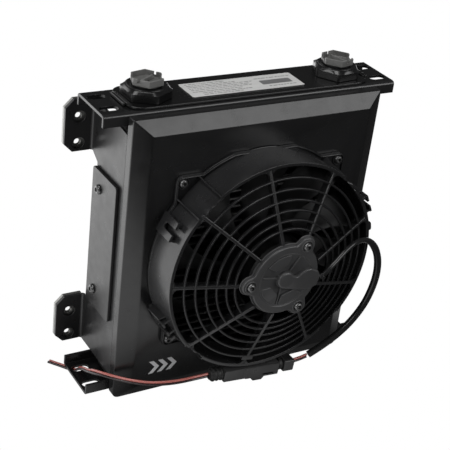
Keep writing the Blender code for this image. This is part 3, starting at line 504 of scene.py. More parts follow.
# ------------------------------ camera and lights
def camera():
    """The camera, from its place, its direction and a small roll."""
    data = bpy.data.cameras.new("camera")
    data.lens = 93.04
    data.sensor_width = 36.0
    data.clip_end = 30.0
    made = placed("camera", data)
    forward = Vector((0.4791, 0.7365, -0.4775)).normalized()
    level = Vector((0.8383, -0.5453, 0.0)).normalized()
    upward = level.cross(forward)
    roll = math.radians(7.09)
    side = level * math.cos(roll) + upward * math.sin(roll)
    up = upward * math.cos(roll) - level * math.sin(roll)
    made.matrix_world = Matrix.Translation((-0.50314, -0.74101, 0.63627)) @ Matrix(
        (side, up, -forward)).transposed().to_4x4()
    bpy.context.scene.camera = made


def softbox(name, at, width, height, power):
    """A rectangular light that looks at the middle of the cooler."""
    data = bpy.data.lights.new(name, "AREA")
    data.shape = "RECTANGLE"
    data.size = width
    data.size_y = height
    data.energy = power
    data.spread = math.radians(180)
    made = placed(name, data)
    made.location = at
    made.rotation_euler = (Vector((0, 0, 0.15)) - Vector(at)).to_track_quat("-Z", "Y").to_euler()


def ramp(tree, value, stops):
    """A brightness that changes over a value in straight steps: (value, brightness) pairs."""
    low, high = stops[0][0], stops[-1][0]
    share = spread(tree, value, low, high, 0.0, 1.0)
    made = node(tree, "ShaderNodeFloatCurve")
    tree.links.new(share, made.inputs["Value"])
    top = max(level for _, level in stops)
    points = made.mapping.curves[0].points
    while len(points) < len(stops):
        points.new(0.5, 0.5)
    for point, (at, level) in zip(points, stops):
        point.location = ((at - low) / (high - low), level / top)
        point.handle_type = "VECTOR"
    made.mapping.update()
    return maths(tree, "MULTIPLY", made.outputs["Value"], top)


def white_to_camera(tree, brightness):
    """The brightness that lights the cooler, but plain white where the camera looks straight at it."""
    path = node(tree, "ShaderNodeLightPath")
    seen = node(tree, "ShaderNodeMix", data_type="FLOAT")
    tree.links.new(path.outputs["Is Camera Ray"], seen.inputs["Factor"])
    tree.links.new(brightness, seen.inputs["A"])
    seen.inputs["B"].default_value = 1.0
    return seen.outputs["Result"]


def studio():
    """A dark room with a bright backdrop at the back left and softboxes."""
    bpy.context.scene.view_settings.view_transform = "Standard"
    world = bpy.data.worlds.new("studio")
    bpy.context.scene.world = world
    world.use_nodes = True
    tree = world.node_tree
    background = tree.nodes["Background"]
    place = node(tree, "ShaderNodeTexCoord")
    toward = distance_along(tree, place.outputs["Generated"], Vector((-0.62, 0.78, 0.0)).normalized())
    glow = ramp(tree, toward, ((-1.0, 0.07), (0.2, 0.05), (0.6, 0.06), (0.8, 0.14), (0.92, 1.3),
                               (1.0, 2.7)))
    background.inputs["Color"].default_value = (1, 1, 1, 1)
    tree.links.new(white_to_camera(tree, glow), background.inputs["Strength"])
    softbox("front_softbox", (0.96, -1.57, 1.00), 1.5, 1.1, 17.5)
    softbox("left_softbox", (-1.5, -0.4, 1.2), 0.8, 0.8, 9.0)
    softbox("top_softbox", (-0.3, 0.0, 1.8), 0.8, 0.8, 10.0)


def contact_shadow(tree, where):
    """How much light is left near the cooler's footprint: dark beneath it, full a hand away."""
    split = node(tree, "ShaderNodeSeparateXYZ")
    tree.links.new(where, split.inputs["Vector"])
    offset = node(tree, "ShaderNodeCombineXYZ")
    for axis, centre, half in (("X", 0.02, 0.120), ("Y", CORE_Y - 0.030, 0.050)):
        size = maths(tree, "ABSOLUTE", maths(tree, "SUBTRACT", split.outputs[axis], centre), 0.0)
        beyond = maths(tree, "MAXIMUM", maths(tree, "SUBTRACT", size, half), 0.0)
        tree.links.new(beyond, offset.inputs[axis])
    away = node(tree, "ShaderNodeVectorMath", operation="LENGTH")
    tree.links.new(offset.outputs["Vector"], away.inputs[0])
    return ramp(tree, away.outputs["Value"], ((0.0, 0.05), (0.02, 0.16), (0.045, 0.50), (0.080, 1.0)))


def floor():
    """A floor that glows with painted light, brightest behind the cooler and fading in front of it,
    darkened by a painted contact shadow near the footprint, and plain white where the camera looks at it.
    """
    bm = bmesh.new()
    half = 6.0
    bm.faces.new([bm.verts.new((x, y, -0.0004)) for x, y in rectangle(-half, -half, half, half)])
    mesh = mesh_of(bm, "floor")
    made = placed("floor", mesh)
    paper = bpy.data.materials.new("painted_glow_floor")
    paper.use_nodes = True
    tree = paper.node_tree
    shader = tree.nodes["Principled BSDF"]
    shader.inputs["Base Color"].default_value = (0.0, 0.0, 0.0, 1)
    shader.inputs["Specular IOR Level"].default_value = 0.0
    shader.inputs["Roughness"].default_value = 0.9
    shader.inputs["Emission Color"].default_value = (1, 1, 1, 1)
    place = node(tree, "ShaderNodeTexCoord")
    where = place.outputs["Object"]
    forward = distance_along(tree, where, (0.545, -0.838, 0.0))
    # painted light: the floor's glow is brightest behind and to the left, fading in front
    glow = ramp(tree, forward, ((-1.5, 2.0), (-0.5, 1.9), (-0.28, 1.45), (-0.12, 1.05), (0.04, 1.30),
                                (0.09, 1.25), (0.13, 0.28), (0.17, 0.06), (0.30, 0.04), (0.6, 0.05),
                                (1.5, 0.04)))
    # painted shadow: the glow is darkened near the cooler's footprint
    shaded = maths(tree, "MULTIPLY", glow, contact_shadow(tree, where))
    tree.links.new(white_to_camera(tree, shaded), shader.inputs["Emission Strength"])
    mesh.materials.append(paper)


# ------------------------------ wiring
SLEEVE_ROUTE = [(0.0366, -0.0992, 0.1316), (0.0419, -0.0995, 0.1365), (0.0475, -0.0989, 0.1410),
                (0.0540, -0.0970, 0.1448), (0.0605, -0.0949, 0.1484), (0.0680, -0.0924, 0.1515),
                (0.0770, -0.0897, 0.1535), (0.0880, -0.0867, 0.1521), (0.0980, -0.0846, 0.1463),
                (0.1056, -0.0835, 0.1372), (0.1103, -0.0827, 0.1276), (0.1128, -0.0822, 0.1182),
                (0.1138, -0.0817, 0.1089), (0.1138, -0.0809, 0.0999), (0.1128, -0.0801, 0.0912),
                (0.1109, -0.0795, 0.0830), (0.1082, -0.0789, 0.0754), (0.1047, -0.0783, 0.0684),
                (0.1003, -0.0779, 0.0619), (0.0953, -0.0776, 0.0560), (0.0897, -0.0773, 0.0507),
                (0.0836, -0.0771, 0.0459), (0.0772, -0.0767, 0.0415), (0.0706, -0.0763, 0.0374),
                (0.0638, -0.0759, 0.0337), (0.0569, -0.0755, 0.0302)]
LEAD_ROUTE = [(0.0552, -0.0754, 0.0294), (0.0525, -0.0752, 0.0287), (0.0490, -0.0749, 0.0277),
              (0.0450, -0.0746, 0.0270), (0.0400, -0.0745, 0.0265)]
SUPPLY_ROUTE = [(-0.0494, -0.0745, 0.0343), (-0.0550, -0.0748, 0.0346), (-0.0610, -0.0746, 0.0346),
                (-0.0670, -0.0740, 0.0342), (-0.0730, -0.0729, 0.0335), (-0.0790, -0.0712, 0.0326),
                (-0.0850, -0.0688, 0.0316), (-0.0908, -0.0660, 0.0306), (-0.0964, -0.0628, 0.0297),
                (-0.1018, -0.0592, 0.0290), (-0.1072, -0.0551, 0.0286), (-0.1124, -0.0507, 0.0283),
                (-0.1172, -0.0460, 0.0280), (-0.1216, -0.0408, 0.0275), (-0.1256, -0.0350, 0.0266),
                (-0.1288, -0.0287, 0.0251), (-0.1310, -0.0220, 0.0227), (-0.1324, -0.0150, 0.0195),
                (-0.1331, -0.0080, 0.0158), (-0.1335, -0.0005, 0.0128), (-0.1337, 0.0050, 0.0097),
                (-0.1338, 0.0094, 0.0062), (-0.1340, 0.0122, 0.0033), (-0.1355, 0.0152, 0.0013),
                (-0.1389, 0.0196, 0.00125), (-0.1429, 0.0249, 0.00125), (-0.1472, 0.0304, 0.00125),
                (-0.1515, 0.0358, 0.00125)]
SLEEVE_R, WIRE_R, WIRE_APART = 0.0034, 0.0011, 0.0013


def pair_route(route, sign):
    """One wire of a pair: above or below the middle line, and beside it where the pair lies flat."""
    turn_from, turn_to = -0.030, -0.006
    upright, flat = Vector((0, 0, 1)), Vector((0.84, 0.54, 0))
    wire = []
    for point in route:
        share = min(1.0, max(0.0, (point[1] - turn_from) / (turn_to - turn_from)))
        direction = upright.lerp(flat, share).normalized()
        wire.append(Vector(point) + direction * (sign * WIRE_APART))
    return wire


def smooth_points(route, per_span):
    """Catmull-Rom points through a route."""
    knots = [Vector(p) for p in route]
    knots = [2 * knots[0] - knots[1]] + knots + [2 * knots[-1] - knots[-2]]
    points = []
    for a, b, c, d in zip(knots, knots[1:], knots[2:], knots[3:]):
        for i in range(per_span):
            t = i / per_span
            points.append(0.5 * (2 * b + (c - a) * t + (2 * a - 5 * b + 4 * c - d) * t ** 2
                                 + (3 * b - a - 3 * c + d) * t ** 3))
    points.append(knots[-2])
    return points


def tube(name, route, radius, material, replaces, slim_until=0.0):
    """A round lead along a route, and its length and start in the frame; it may start slimmer."""
    curve = bpy.data.curves.new(name, "CURVE")
    curve.dimensions = "3D"
    curve.bevel_depth = radius
    curve.bevel_resolution = 5
    curve.use_fill_caps = True
    points = [TO_FRAME @ point for point in smooth_points(route, 3)]
    spline = curve.splines.new("POLY")
    spline.points.add(len(points) - 1)
    for i, (slot_point, point) in enumerate(zip(spline.points, points)):
        slot_point.co = (*point, 1.0)
        grown = min(1.0, max(0.0, (i / len(points) - slim_until) / 0.08)) if slim_until else 1.0
        slot_point.radius = 0.66 + 0.34 * grown
    spline.use_smooth = True
    made = placed(name, curve)
    dress(made, material, "cooler", replaces)
    length = sum((b - a).length for a, b in zip(points, points[1:]))
    return made, length, points[0]


def wiring(connector_pieces):
    """The sleeved motor lead with its two short wires, and the two supply leads."""
    sleeve, sleeve_length, sleeve_exit = tube("lead_sleeve_wrap", SLEEVE_ROUTE, SLEEVE_R, SLEEVE,
                                              ["lead_sleeve"], slim_until=0.26)
    colours = (("red", 1, RED_WIRE), ("black", -1, BLACK_WIRE))
    short = [tube(f"lead_core_{name}", pair_route(LEAD_ROUTE, sign), WIRE_R, finish,
                  [f"lead_wire_{name}"])[0] for name, sign, finish in colours]
    for name, sign, finish in colours:
        wire, length, start = tube(f"supply_lead_{name}", pair_route(SUPPLY_ROUTE, sign), WIRE_R, finish,
                                   [f"supply_wire_{name}"])


# ------------------------------ connectors
def connectors():
    """Plug with its latch, socket behind its neck, wire seal and ring."""
    place = Matrix.Translation((0.0, -0.0745, 0.0300)) @ Matrix.Rotation(math.radians(5.0), 4, "Y")
    deep, tall, face = 0.0075, 0.0062, 0.0215

    def block(x0, x1, y, low, high, edge=0.0007):
        """A rounded block, as wide to each side as y."""
        outline = rounded(rectangle(x0, low, x1, high), 0.0008, 2)
        return plate(outline, (), "XZ", -y, 2 * y, edge, 2)

    shell = [block(-0.0360, -0.0125, deep - 0.0003, -0.0056, 0.0056),
             block(-0.0135, face, deep, -tall, 0.0058, 0.0009),
             block(0.0085, face - 0.0012, deep - 0.0022, 0.0030, 0.0062, 0.0004),
             block(-0.0118, 0.0080, deep - 0.0046, 0.0050, 0.00625, 0.0003),
             plate(rounded([(-0.0068, -tall + 0.001), (-0.0035, -0.0106), (0.0058, -0.0106),
                            (0.0098, -tall + 0.001)], 0.0016, 4), (), "XZ", -deep + 0.0018,
                   2 * deep - 0.0036, 0.0006, 2),
             block(0.0040, 0.0165, deep, -0.0044, -0.0022, 0.0004),
             block(-0.0160, -0.0132, deep, -0.0048, 0.0046, 0.0004)]
    plug = piece("plug_shell", [turned_to(part, place) for part in shell], PLUG_PLASTIC,
                 replaces=["connector_plug"])
    start = face + GAP
    neck = lathe(rounded([(0, 0), (0.0042, 0), (0.0042, 0.0075), (0, 0.0075)], 0.0004, 2), (start, 0, 0),
                 (1, 0, 0), 32)
    head_outline = rounded(rectangle(-0.0066, -0.0056, 0.0066, 0.0056), 0.0014, 3)
    head = plate(head_outline, (), "YZ", face + 0.0060, 0.0110, 0.0008, 2)
    rib = plate(rounded(rectangle(-0.0052, 0.0050, 0.0052, 0.0056), 0.0003, 1), (), "YZ", face + 0.0075,
                0.0080, 0.0002, 1)
    socket = piece("socket_shell", [turned_to(part, place) for part in (neck, head, rib)], PLUG_PLASTIC,
                   replaces=["connector_socket"])
    section = rounded([(0.0045, 0.0012), (0.0058, 0.0012), (0.0058, 0.0048), (0.0045, 0.0048)], 0.0006, 4)
    ring = piece("socket_ring", [turned_to(lathe(section, (start, 0, 0), (1, 0, 0), 40), place)], RUBBER,
                 replaces=["connector_ring"])
    ribs = [(0, 0)]
    for i in range(3):
        at = 0.0040 * i
        ribs += [(radius, along) for along, radius in arc(at + 0.0010, 0.0055, 0.0009, 180, 0, 6)]
        ribs.append((0.0052, at + 0.0028))
    ribs += [(0.0046, 0.0116), (0.0040, 0.0120), (0, 0.0120)]
    seal = piece("wire_seal", [turned_to(lathe(ribs, (-0.0363, 0, 0), (-1, 0, 0), 40), place)], RUBBER,
                 replaces=["connector_seal"])
    return [plug, socket, ring, seal]


# ------------------------------ core
def core():
    """Flat tubes with rounded noses, corrugated fins between them and ribbed headers."""
    low, high = PAD + SHEET + GAP, TOP - SHEET - GAP
    pitch = (high - low - TUBE_HEIGHT) / ROWS
    tubes, fins = [], []
    for i in range(ROWS + 1):
        z = low + i * pitch + TUBE_HEIGHT / 2
        nose = stadium(0, z, TUBE_DEPTH, TUBE_HEIGHT, 4)
        tubes.append(loft([[Vector((x, y, level)) for y, level in nose]
                           for x in (-MATRIX_HALF - 0.004, MATRIX_HALF + 0.004)]))
        if i < ROWS:
            fins.append(fin_row(low + i * pitch + TUBE_HEIGHT, pitch - TUBE_HEIGHT))
    piece("core_tubes", tubes, CORE_COAT, replaces=["core_matrix"])
    piece("core_fins", fins, CORE_COAT)
    for side, sign in (("left", -1), ("right", 1)):
        x0, x1 = sorted((sign * (MATRIX_HALF + GAP), sign * 0.11325))
        outline = rounded(rectangle(x0, -0.021, x1, 0.021), 0.012, 6)
        rings = []
        for i in range(ROWS + 1):
            z = low + i * pitch
            for level, shrink in ((0.0, 0.0007), (0.0004, 0.0), (0.0024, 0.0), (0.0030, 0.0010),
                                  (pitch - 0.0004, 0.0010)):
                if z + level < high:
                    rings.append([Vector((x, y, z + level)) for x, y in inset(outline, shrink)])
        rings.append([Vector((x, y, high)) for x, y in inset(outline, 0.0007)])
        piece(f"{side}_header_stack", [loft(rings)], CORE_COAT,
              replaces=[f"{side}_header"])


def fin_row(z, height):
    """One corrugated strip, as thick as its sheet, over the width between the headers."""
    count, sheet, depth = 64, 0.00022, FIN_DEPTH / 2
    step = 2 * MATRIX_HALF / count
    top, bottom = [], []
    for i in range(count + 1):
        x = -MATRIX_HALF + i * step
        for shift in (-0.22, 0.22):
            at = x + shift * step
            level = z + (height - sheet * 1.4 if i % 2 else sheet * 0.4)
            if -MATRIX_HALF <= at <= MATRIX_HALF:
                top.append((at, level + sheet))
                bottom.append((at, level))
    section = top + bottom[::-1]
    return loft([[Vector((x, y, level)) for x, level in section] for y in (-depth, depth)])


def channel(name, level, sign):
    """One folded end channel with its slotted ends."""
    half, bend, edge = CHANNEL_DEEP, CHANNEL_BEND, 0.0003
    web = rounded(rectangle(-CHANNEL_HALF, -half + bend, CHANNEL_HALF, half - bend), 0.0, 1)
    slots = [stadium(x, y, 0.0165, 0.0085) for x in (-0.131, 0.131) for y in (-0.012, 0.012)]
    start = level - SHEET if sign > 0 else level
    parts = [plate(web, slots, "XY", start, SHEET, 0.00025, 2)]
    for side in (-1, 1):
        outer = arc(half - bend, -bend, bend, 90, 0, 8)
        inner = arc(half - bend, -bend, bend - SHEET, 0, 90, 4)
        section = outer + rounded([(half, -CHANNEL_FLANGE), (half - SHEET, -CHANNEL_FLANGE)], 0, 1) + inner
        rings = []
        for x, shrink in ((-CHANNEL_HALF, edge), (-CHANNEL_HALF + edge, 0.0), (CHANNEL_HALF - edge, 0.0),
                          (CHANNEL_HALF, edge)):
            rings.append([Vector((x, side * a, level + sign * b)) for a, b in inset(section, shrink)])
        parts.append(loft(rings))
    piece(f"{name}_fold", parts, COAT, replaces=[name])


def end_plates():
    """The rounded end plates; the upper one has small tongues hooked over the channel."""
    outline = rounded(rectangle(-0.1165, -0.0235, 0.1165, 0.0235), 0.015, 8)
    piece("base_plate_lower", [plate(outline, (), "XY", 0.0, PAD - GAP, 0.0006, 3)], COAT,
          replaces=["core_base_plate"])
    parts = [plate(outline, (), "XY", TOP + GAP, PAD - GAP, 0.0006, 3)]
    for x in (-0.1180, -0.1154, 0.1154, 0.1180):
        parts.append(plate(rounded(rectangle(x - 0.0011, -0.0122, x + 0.0011, 0.0122), 0.0010, 3), (), "XY",
                           TOP + GAP, 0.0032, 0.0008, 3))
    piece("base_plate_upper", parts, COAT, replaces=["core_top_plate"])


def rating_label():
    """A plain silver label with generic grey bars where printing would be."""
    low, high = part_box("rating_label")
    low, high = Vector((low.x, low.y - CORE_Y, low.z)), Vector((high.x, high.y - CORE_Y, high.z))
    outline = rounded(rectangle(low.x, low.y, high.x, high.y), 0.0015, 4)
    piece("label_plate", [plate(outline, (), "XY", low.z, high.z - low.z, 0.00012, 2)], LABEL,
          replaces=["rating_label"])
    draw = random.Random(7)
    parts = []
    left, right = 0.0045, 0.0120
    rows = ((0.0030, left, 0.042), (0.0062, left, 0.050), (0.0092, left, 0.066), (0.0122, left, 0.058),
            (0.0152, left, 0.060), (0.0186, left, 0.052), (0.0218, right, 0.060), (0.0248, right, 0.048),
            (0.0060, 0.0700, 0.103), (0.0226, 0.0760, 0.104))
    ink_level, ink_thick, ink_edge = high.z - 0.00004, 0.00006, 0.00001
    for below, first, last in rows:
        y, x = high.y - below, low.x + first
        while x < low.x + last:
            width = draw.uniform(0.0012, 0.0048)
            parts.append(plate(rectangle(x, y - 0.0005, x + width, y + 0.0005), (), "XY", ink_level,
                               ink_thick, ink_edge, 1))
            x += width + draw.uniform(0.0006, 0.0012)
    block = rounded(rectangle(low.x + 0.0720, low.y + 0.0085, low.x + 0.1020, low.y + 0.0170), 0.0012, 3)
    parts.append(plate(block, (), "XY", ink_level, ink_thick, ink_edge, 1))
    piece("label_bars", parts, PRINT)


# ------------------------------ ports
def port_boss(side, x, phase):
    """A welded boss: six flats below, turned to a cone and a round rim above."""
    base, count = TOP + PAD + GAP, 96
    flat, corner, narrow_foot = 0.0189, 0.0214, 0.985
    levels = [(0.0, corner), (0.0005, corner + 0.001), (0.0062, corner + 0.001), (0.0067, corner),
              (0.0087, 0.0180), (BOSS_HEIGHT, 0.0173)]
    rings = []
    for level, cone in levels:
        ring = []
        for i in range(count):
            turn = 360 * i / count
            across = flat / math.cos(math.radians((turn - phase + 30) % 60 - 30))
            ring.append(Vector((*on_circle(x, 0, min(across, cone, corner), turn), base + level)))
        rings.append(ring)
    for radius, level in ((PORT_R + 0.0008, BOSS_HEIGHT), (PORT_R, 0.0084), (PORT_R, 0.0010)):
        rings.append([Vector((a, b, base + level)) for a, b in circle(x, 0, radius, count)])
    rings[0] = [Vector((x + (p.x - x) * narrow_foot, p.y * narrow_foot, p.z)) for p in rings[0]]
    collar = lathe(rounded([(0.0138, 0.0), (0.0168, 0.0), (0.0166, 0.0006), (0.0140, 0.0006)], 0.0003, 2),
                   (x, 0, base + BOSS_HEIGHT - 0.0002), (0, 0, 1), 72)
    piece(f"{side}_boss", [loft(rings), collar], COAT, replaces=[f"{side}_port_boss"])
    seat = base + BOSS_HEIGHT + GAP
    section = rounded(rectangle(PORT_R + 0.0002, 0.0, PORT_R + 0.0018, SEAL_HEIGHT), 0.0004, 3)
    piece(f"{side}_seal_ring", [lathe(section, (x, 0, seat), (0, 0, 1), 48)], RUBBER,
          replaces=[f"{side}_plug_seal"])


def port_plug(side, x, notch):
    """A hexagonal plastic plug with a wide driving slot, a sunk middle and a narrow cross slot."""
    level = TOP + PAD + GAP + BOSS_HEIGHT + GAP + SEAL_HEIGHT + GAP
    tall, across = 0.0058, 0.0252
    hexagon = circle(x, 0, across / math.sqrt(3), 6, 12)
    head = plate(rounded(hexagon, 0.0012, 3), (), "XY", level, tall, 0.0006, 2)
    stem = lathe([(0, -0.0080), (0.0097, -0.0080), (0.0100, -0.0076), (0.0100, 0.001), (0, 0.001)],
                 (x, 0, level), (0, 0, 1), 40)
    top = Matrix.Translation((x, 0, level + tall))
    wide = plate(rounded(rectangle(-0.0200, -0.0050, 0.0200, 0.0050), 0.0006, 2), (), "XY", -0.0034, 0.0064,
                 0.0003, 1)
    narrow = plate(rectangle(-0.0200, -0.0012, 0.0200, 0.0012), (), "XY", -0.0030, 0.0060, 0.0002, 1)
    sunk = plate(rounded(circle(0, 0, 0.0128, 6, 12), 0.0014, 3), (), "XY", -0.0046, 0.0070, 0.0003, 1)
    cutters = [turned_to(wide, top @ Matrix.Rotation(math.radians(-18), 4, "Z")),
               turned_to(narrow, top @ Matrix.Rotation(math.radians(notch), 4, "Z")),
               turned_to(sunk, top)]
    rib = bar((-0.0078, 0, -0.0028), (0.0078, 0, -0.0028), (0, 1, 0), 0.0018, 0.0030, 0.0004)
    turned_to(rib, top @ Matrix.Rotation(math.radians(notch), 4, "Z"))
    piece(f"{side}_plug_head", [carved(head, cutters), stem, rib], GREY_CAP,
          replaces=[f"{side}_port_plug"], sharp=30)


# ------------------------------ sheet metal
def shroud():
    """The bent tray: side flanges, four sloping sides and a flat front with the fan's opening."""
    sheet, slope_x, slope_z = 0.0020, 0.0150, 0.0131

    def ring(y, depth, skin):
        """One rectangle of the tray; depth is the share of the slope, skin the sheet inside."""
        x = SHROUD_HALF - slope_x * depth - skin
        low = slope_z * depth + skin
        high = SHROUD_TOP - slope_z * depth - skin
        foot, crown = 0.0055, 0.0012
        outline = []
        for cx, cz, radius, start, count in ((foot - x, low + foot, foot, 180, 5),
                                             (x - foot, low + foot, foot, 270, 5),
                                             (x - crown, high - crown, crown, 0, 3),
                                             (crown - x, high - crown, crown, 90, 3)):
            outline += arc(cx, cz, radius, start, start + 90, count)
        return [(px, y, pz) for px, pz in outline]

    rim, front = -0.0345, FRONT_Y
    outer = [(-0.0260, 0.0, 0.0), (rim + 0.0014, 0.0, 0.0), (rim + 0.0004, 0.004, 0.0),
             (rim - 0.0003, 0.035, 0.0), (front + 0.0009, 0.88, 0.0), (front + 0.0002, 0.955, 0.0),
             (front, 1.04, 0.0)]
    inner = [(front + sheet, 1.02, 0.0007), (rim + 0.0007, 0.0, sheet), (-0.0260, 0.0, sheet)]
    bm = bmesh.new()
    rings = [[bm.verts.new(Vector(p)) for p in ring(*level)] for level in outer + inner]
    outer_face, inner_face = rings[len(outer) - 1], rings[len(outer)]
    for here, there in zip(rings, rings[1:] + rings[:1]):
        if here is not outer_face:
            bridge(bm, here, there)
    lips = []
    faces = ((outer_face, front), (inner_face, front + sheet))
    for loop, y in faces:
        holes = [circle(0, AXIS_Z, 0.0975, 96)] + bolt_circle(LUG_R, LUGS, BOLT_HOLE_R, 16)
        edges = [bm.edges.get((loop[i - 1], loop[i])) for i in range(len(loop))]
        made = []
        for hole in holes:
            verts = [bm.verts.new((a, y, b)) for a, b in hole]
            edges += [bm.edges.new((verts[i - 1], verts[i])) for i in range(len(verts))]
            made.append(verts)
        bmesh.ops.triangle_fill(bm, use_beauty=True, use_dissolve=False, edges=edges)
        lips.append(made)
    for here, there in zip(*lips):
        bridge(bm, here, there)
    piece("shroud_tray", [bm], COAT, replaces=["fan_shroud"], sharp=60)


def flow_mark():
    """A generic white airflow mark, three chevrons on the lower left of the shroud."""
    parts = []
    low, level, high, width, point = 0.0240, 0.0305, 0.0370, 0.0044, 0.0060
    for i in range(3):
        x = -0.0905 + i * 2 * width
        outline = [(x, low), (x + width, low), (x + width + point, level), (x + width, high), (x, high),
                   (x + point, level)]
        parts.append(plate(outline, (), "XZ", FRONT_Y - 0.00025, 0.0002, 0.00004, 1))
    piece("flow_mark", parts, MARK)


def ear_outline(low, sign, inner):
    """An ear from its fold to its two cut corners."""
    cut = 0.0075
    points = [(inner, low), (EAR_OUT - cut, low), (EAR_OUT, low + cut), (EAR_OUT, low + EAR_HEIGHT - cut),
              (EAR_OUT - cut, low + EAR_HEIGHT), (inner, low + EAR_HEIGHT)]
    return [(sign * x, z) for x, z in points]


def side_plate(side, sign):
    """The flat wall and its two ears, each folded out with a bend radius."""
    front, back_low, tab = -0.0257, 0.0256, EAR_Y - 0.0020
    lower, upper, wall_top, slope = EAR_LEVELS["lower"], EAR_LEVELS["upper"], 0.2524, 0.0060
    lower_end = lower + EAR_HEIGHT
    outline = [(front, lower), (tab, lower), (tab, lower_end), (back_low, lower_end + slope),
               (back_low, upper - slope), (tab, upper), (tab, wall_top + 0.0055), (front, wall_top)]
    x = SHROUD_HALF
    start = x - SHEET if sign > 0 else -x
    holes = [circle(COVER_SCREW_Y, AXIS_Z + rise, BOLT_HOLE_R, 16) for rise in COVER_SCREWS.values()]
    parts = [plate(rounded(outline, 0.0012, 3), holes, "YZ", start, SHEET, 0.0004, 2)]
    for low in EAR_LEVELS.values():
        bolt_holes = [circle(sign * EAR_HOLE_X, low + rise, 0.0053, 32) for rise in EAR_HOLE_RISES]
        flat = plate(rounded(ear_outline(low, sign, x + 0.0019), 0.0008, 2), bolt_holes, "XZ", EAR_Y, SHEET,
                     0.0004, 2)
        bend_in, bend_out = 0.0020, 0.0020 + SHEET
        cx, cy = x + bend_in, EAR_Y - bend_in
        curve = arc(cx, cy, bend_in, 180, 90, 6) + arc(cx, cy, bend_out, 90, 180, 6)
        section = [(sign * a, b) for a, b in curve]
        rings = [[Vector((a, b, z)) for a, b in inset(section, shrink)]
                 for z, shrink in ((low, 0.0004), (low + 0.0004, 0.0), (low + EAR_HEIGHT - 0.0004, 0.0),
                                   (low + EAR_HEIGHT, 0.0004))]
        parts += [flat, loft(rings)]
    piece(f"{side}_wall", parts, BRACKET_COAT, replaces=[f"{side}_side_plate"])


def nut_plates(side, sign):
    """The two plates behind the ears, with ring threads in their holes."""
    pitch = 0.0010
    for name, low in EAR_LEVELS.items():
        outline = ear_outline(low, sign, SHROUD_HALF + 0.0005)
        holes = [circle(sign * EAR_HOLE_X, low + rise, 0.0030, 32) for rise in EAR_HOLE_RISES]
        start = EAR_Y + SHEET + GAP
        parts = [plate(rounded(outline, 0.0006, 2), holes, "XZ", start, 0.0033, 0.0004, 2)]
        for rise in EAR_HOLE_RISES:
            at = Vector((sign * EAR_HOLE_X, start, low + rise))
            for turn in range(3):
                shift = turn * pitch
                thread = [(0.0031, 0.0003 + shift), (0.0026, 0.0008 + shift), (0.0031, 0.0013 + shift),
                          (0.0032, 0.0008 + shift)]
                parts.append(lathe(thread, at, (0, 1, 0), 28))
        piece(f"{side}_{name}_tapped_plate", parts, ZINC,
              replaces=[f"{side}_{name}_nut_plate"])


def cover_panel(side, sign):
    """The flat cover over the side wall, and its two screws."""
    inner, half_height = SHROUD_HALF + GAP, 0.0655
    start = inner if sign > 0 else -inner - COVER_SHEET
    outline = rounded(rectangle(-0.0190, AXIS_Z - half_height, 0.0268, AXIS_Z + half_height), 0.0030, 4)
    holes = [circle(COVER_SCREW_Y, AXIS_Z + rise, BOLT_HOLE_R, 20) for rise in COVER_SCREWS.values()]
    piece(f"{side}_cover", [plate(outline, holes, "YZ", start, COVER_SHEET, 0.0005, 3)], BRACKET_COAT,
          replaces=[f"{side}_cover_panel"])
    for level, rise in COVER_SCREWS.items():
        at = (sign * (inner + COVER_SHEET + GAP), COVER_SCREW_Y, AXIS_Z + rise)
        screw(f"{side}_cover_screw_{level}", at, (sign, 0, 0), 0.0044, 0.0026, 0.0062, 0.0020, DARK_SCREW,
              f"{side}_panel_screw_{level}")


def screw(name, at, axis, head, height, length, shank, material, stands_for):
    """A domed head with a hexagonal recess, a washer face and a threaded shank."""
    direction = Vector(axis).normalized()
    side = direction.orthogonal().normalized()
    other = direction.cross(side)

    def ring(radius, level, hexed=0.0, count=36):
        """One ring of the screw; hexed is how far it is drawn to a hexagon."""
        points = []
        for i in range(count):
            turn = 360 * i / count
            flat = 1 / math.cos(math.radians((turn + 30) % 60 - 30)) * 0.93
            a, b = on_circle(0, 0, radius * (1 + (flat - 1) * hexed), turn)
            points.append(Vector(at) + side * a + other * b + direction * level)
        return points

    recess, pitch = head * 0.46, 0.0008
    rings = [ring(shank * 0.6, -length), ring(shank, -length + 0.0005)]
    for i in range(int((length - 0.0010) / pitch)):
        rings.append(ring(shank, -length + 0.0006 + i * pitch))
        rings.append(ring(shank * 0.86, -length + 0.0010 + i * pitch))
    rings += [ring(shank, -0.0001), ring(shank, 0.0), ring(head - 0.0002, 0.0), ring(head, 0.0002),
              ring(head, 0.0005), ring(head * 0.93, height * 0.45), ring(head * 0.82, height * 0.75),
              ring(head * 0.66, height * 0.96), ring(recess * 1.12, height, 0.6),
              ring(recess, height * 0.97, 1), ring(recess * 0.96, height * 0.35, 1),
              ring(recess * 0.3, height * 0.22, 0)]
    return piece(name, [loft(rings)], material, replaces=[stands_for], sharp=32)


# ------------------------------ fan frame
def guard_y(radius):
    """The guard is a shallow cone: its front face at a radius."""
    rise = (SKIRT_IN - radius) / (SKIRT_IN - HUB_R)
    return GUARD_Y + (HUB_FACE_Y + 0.0020 - GUARD_Y) * rise


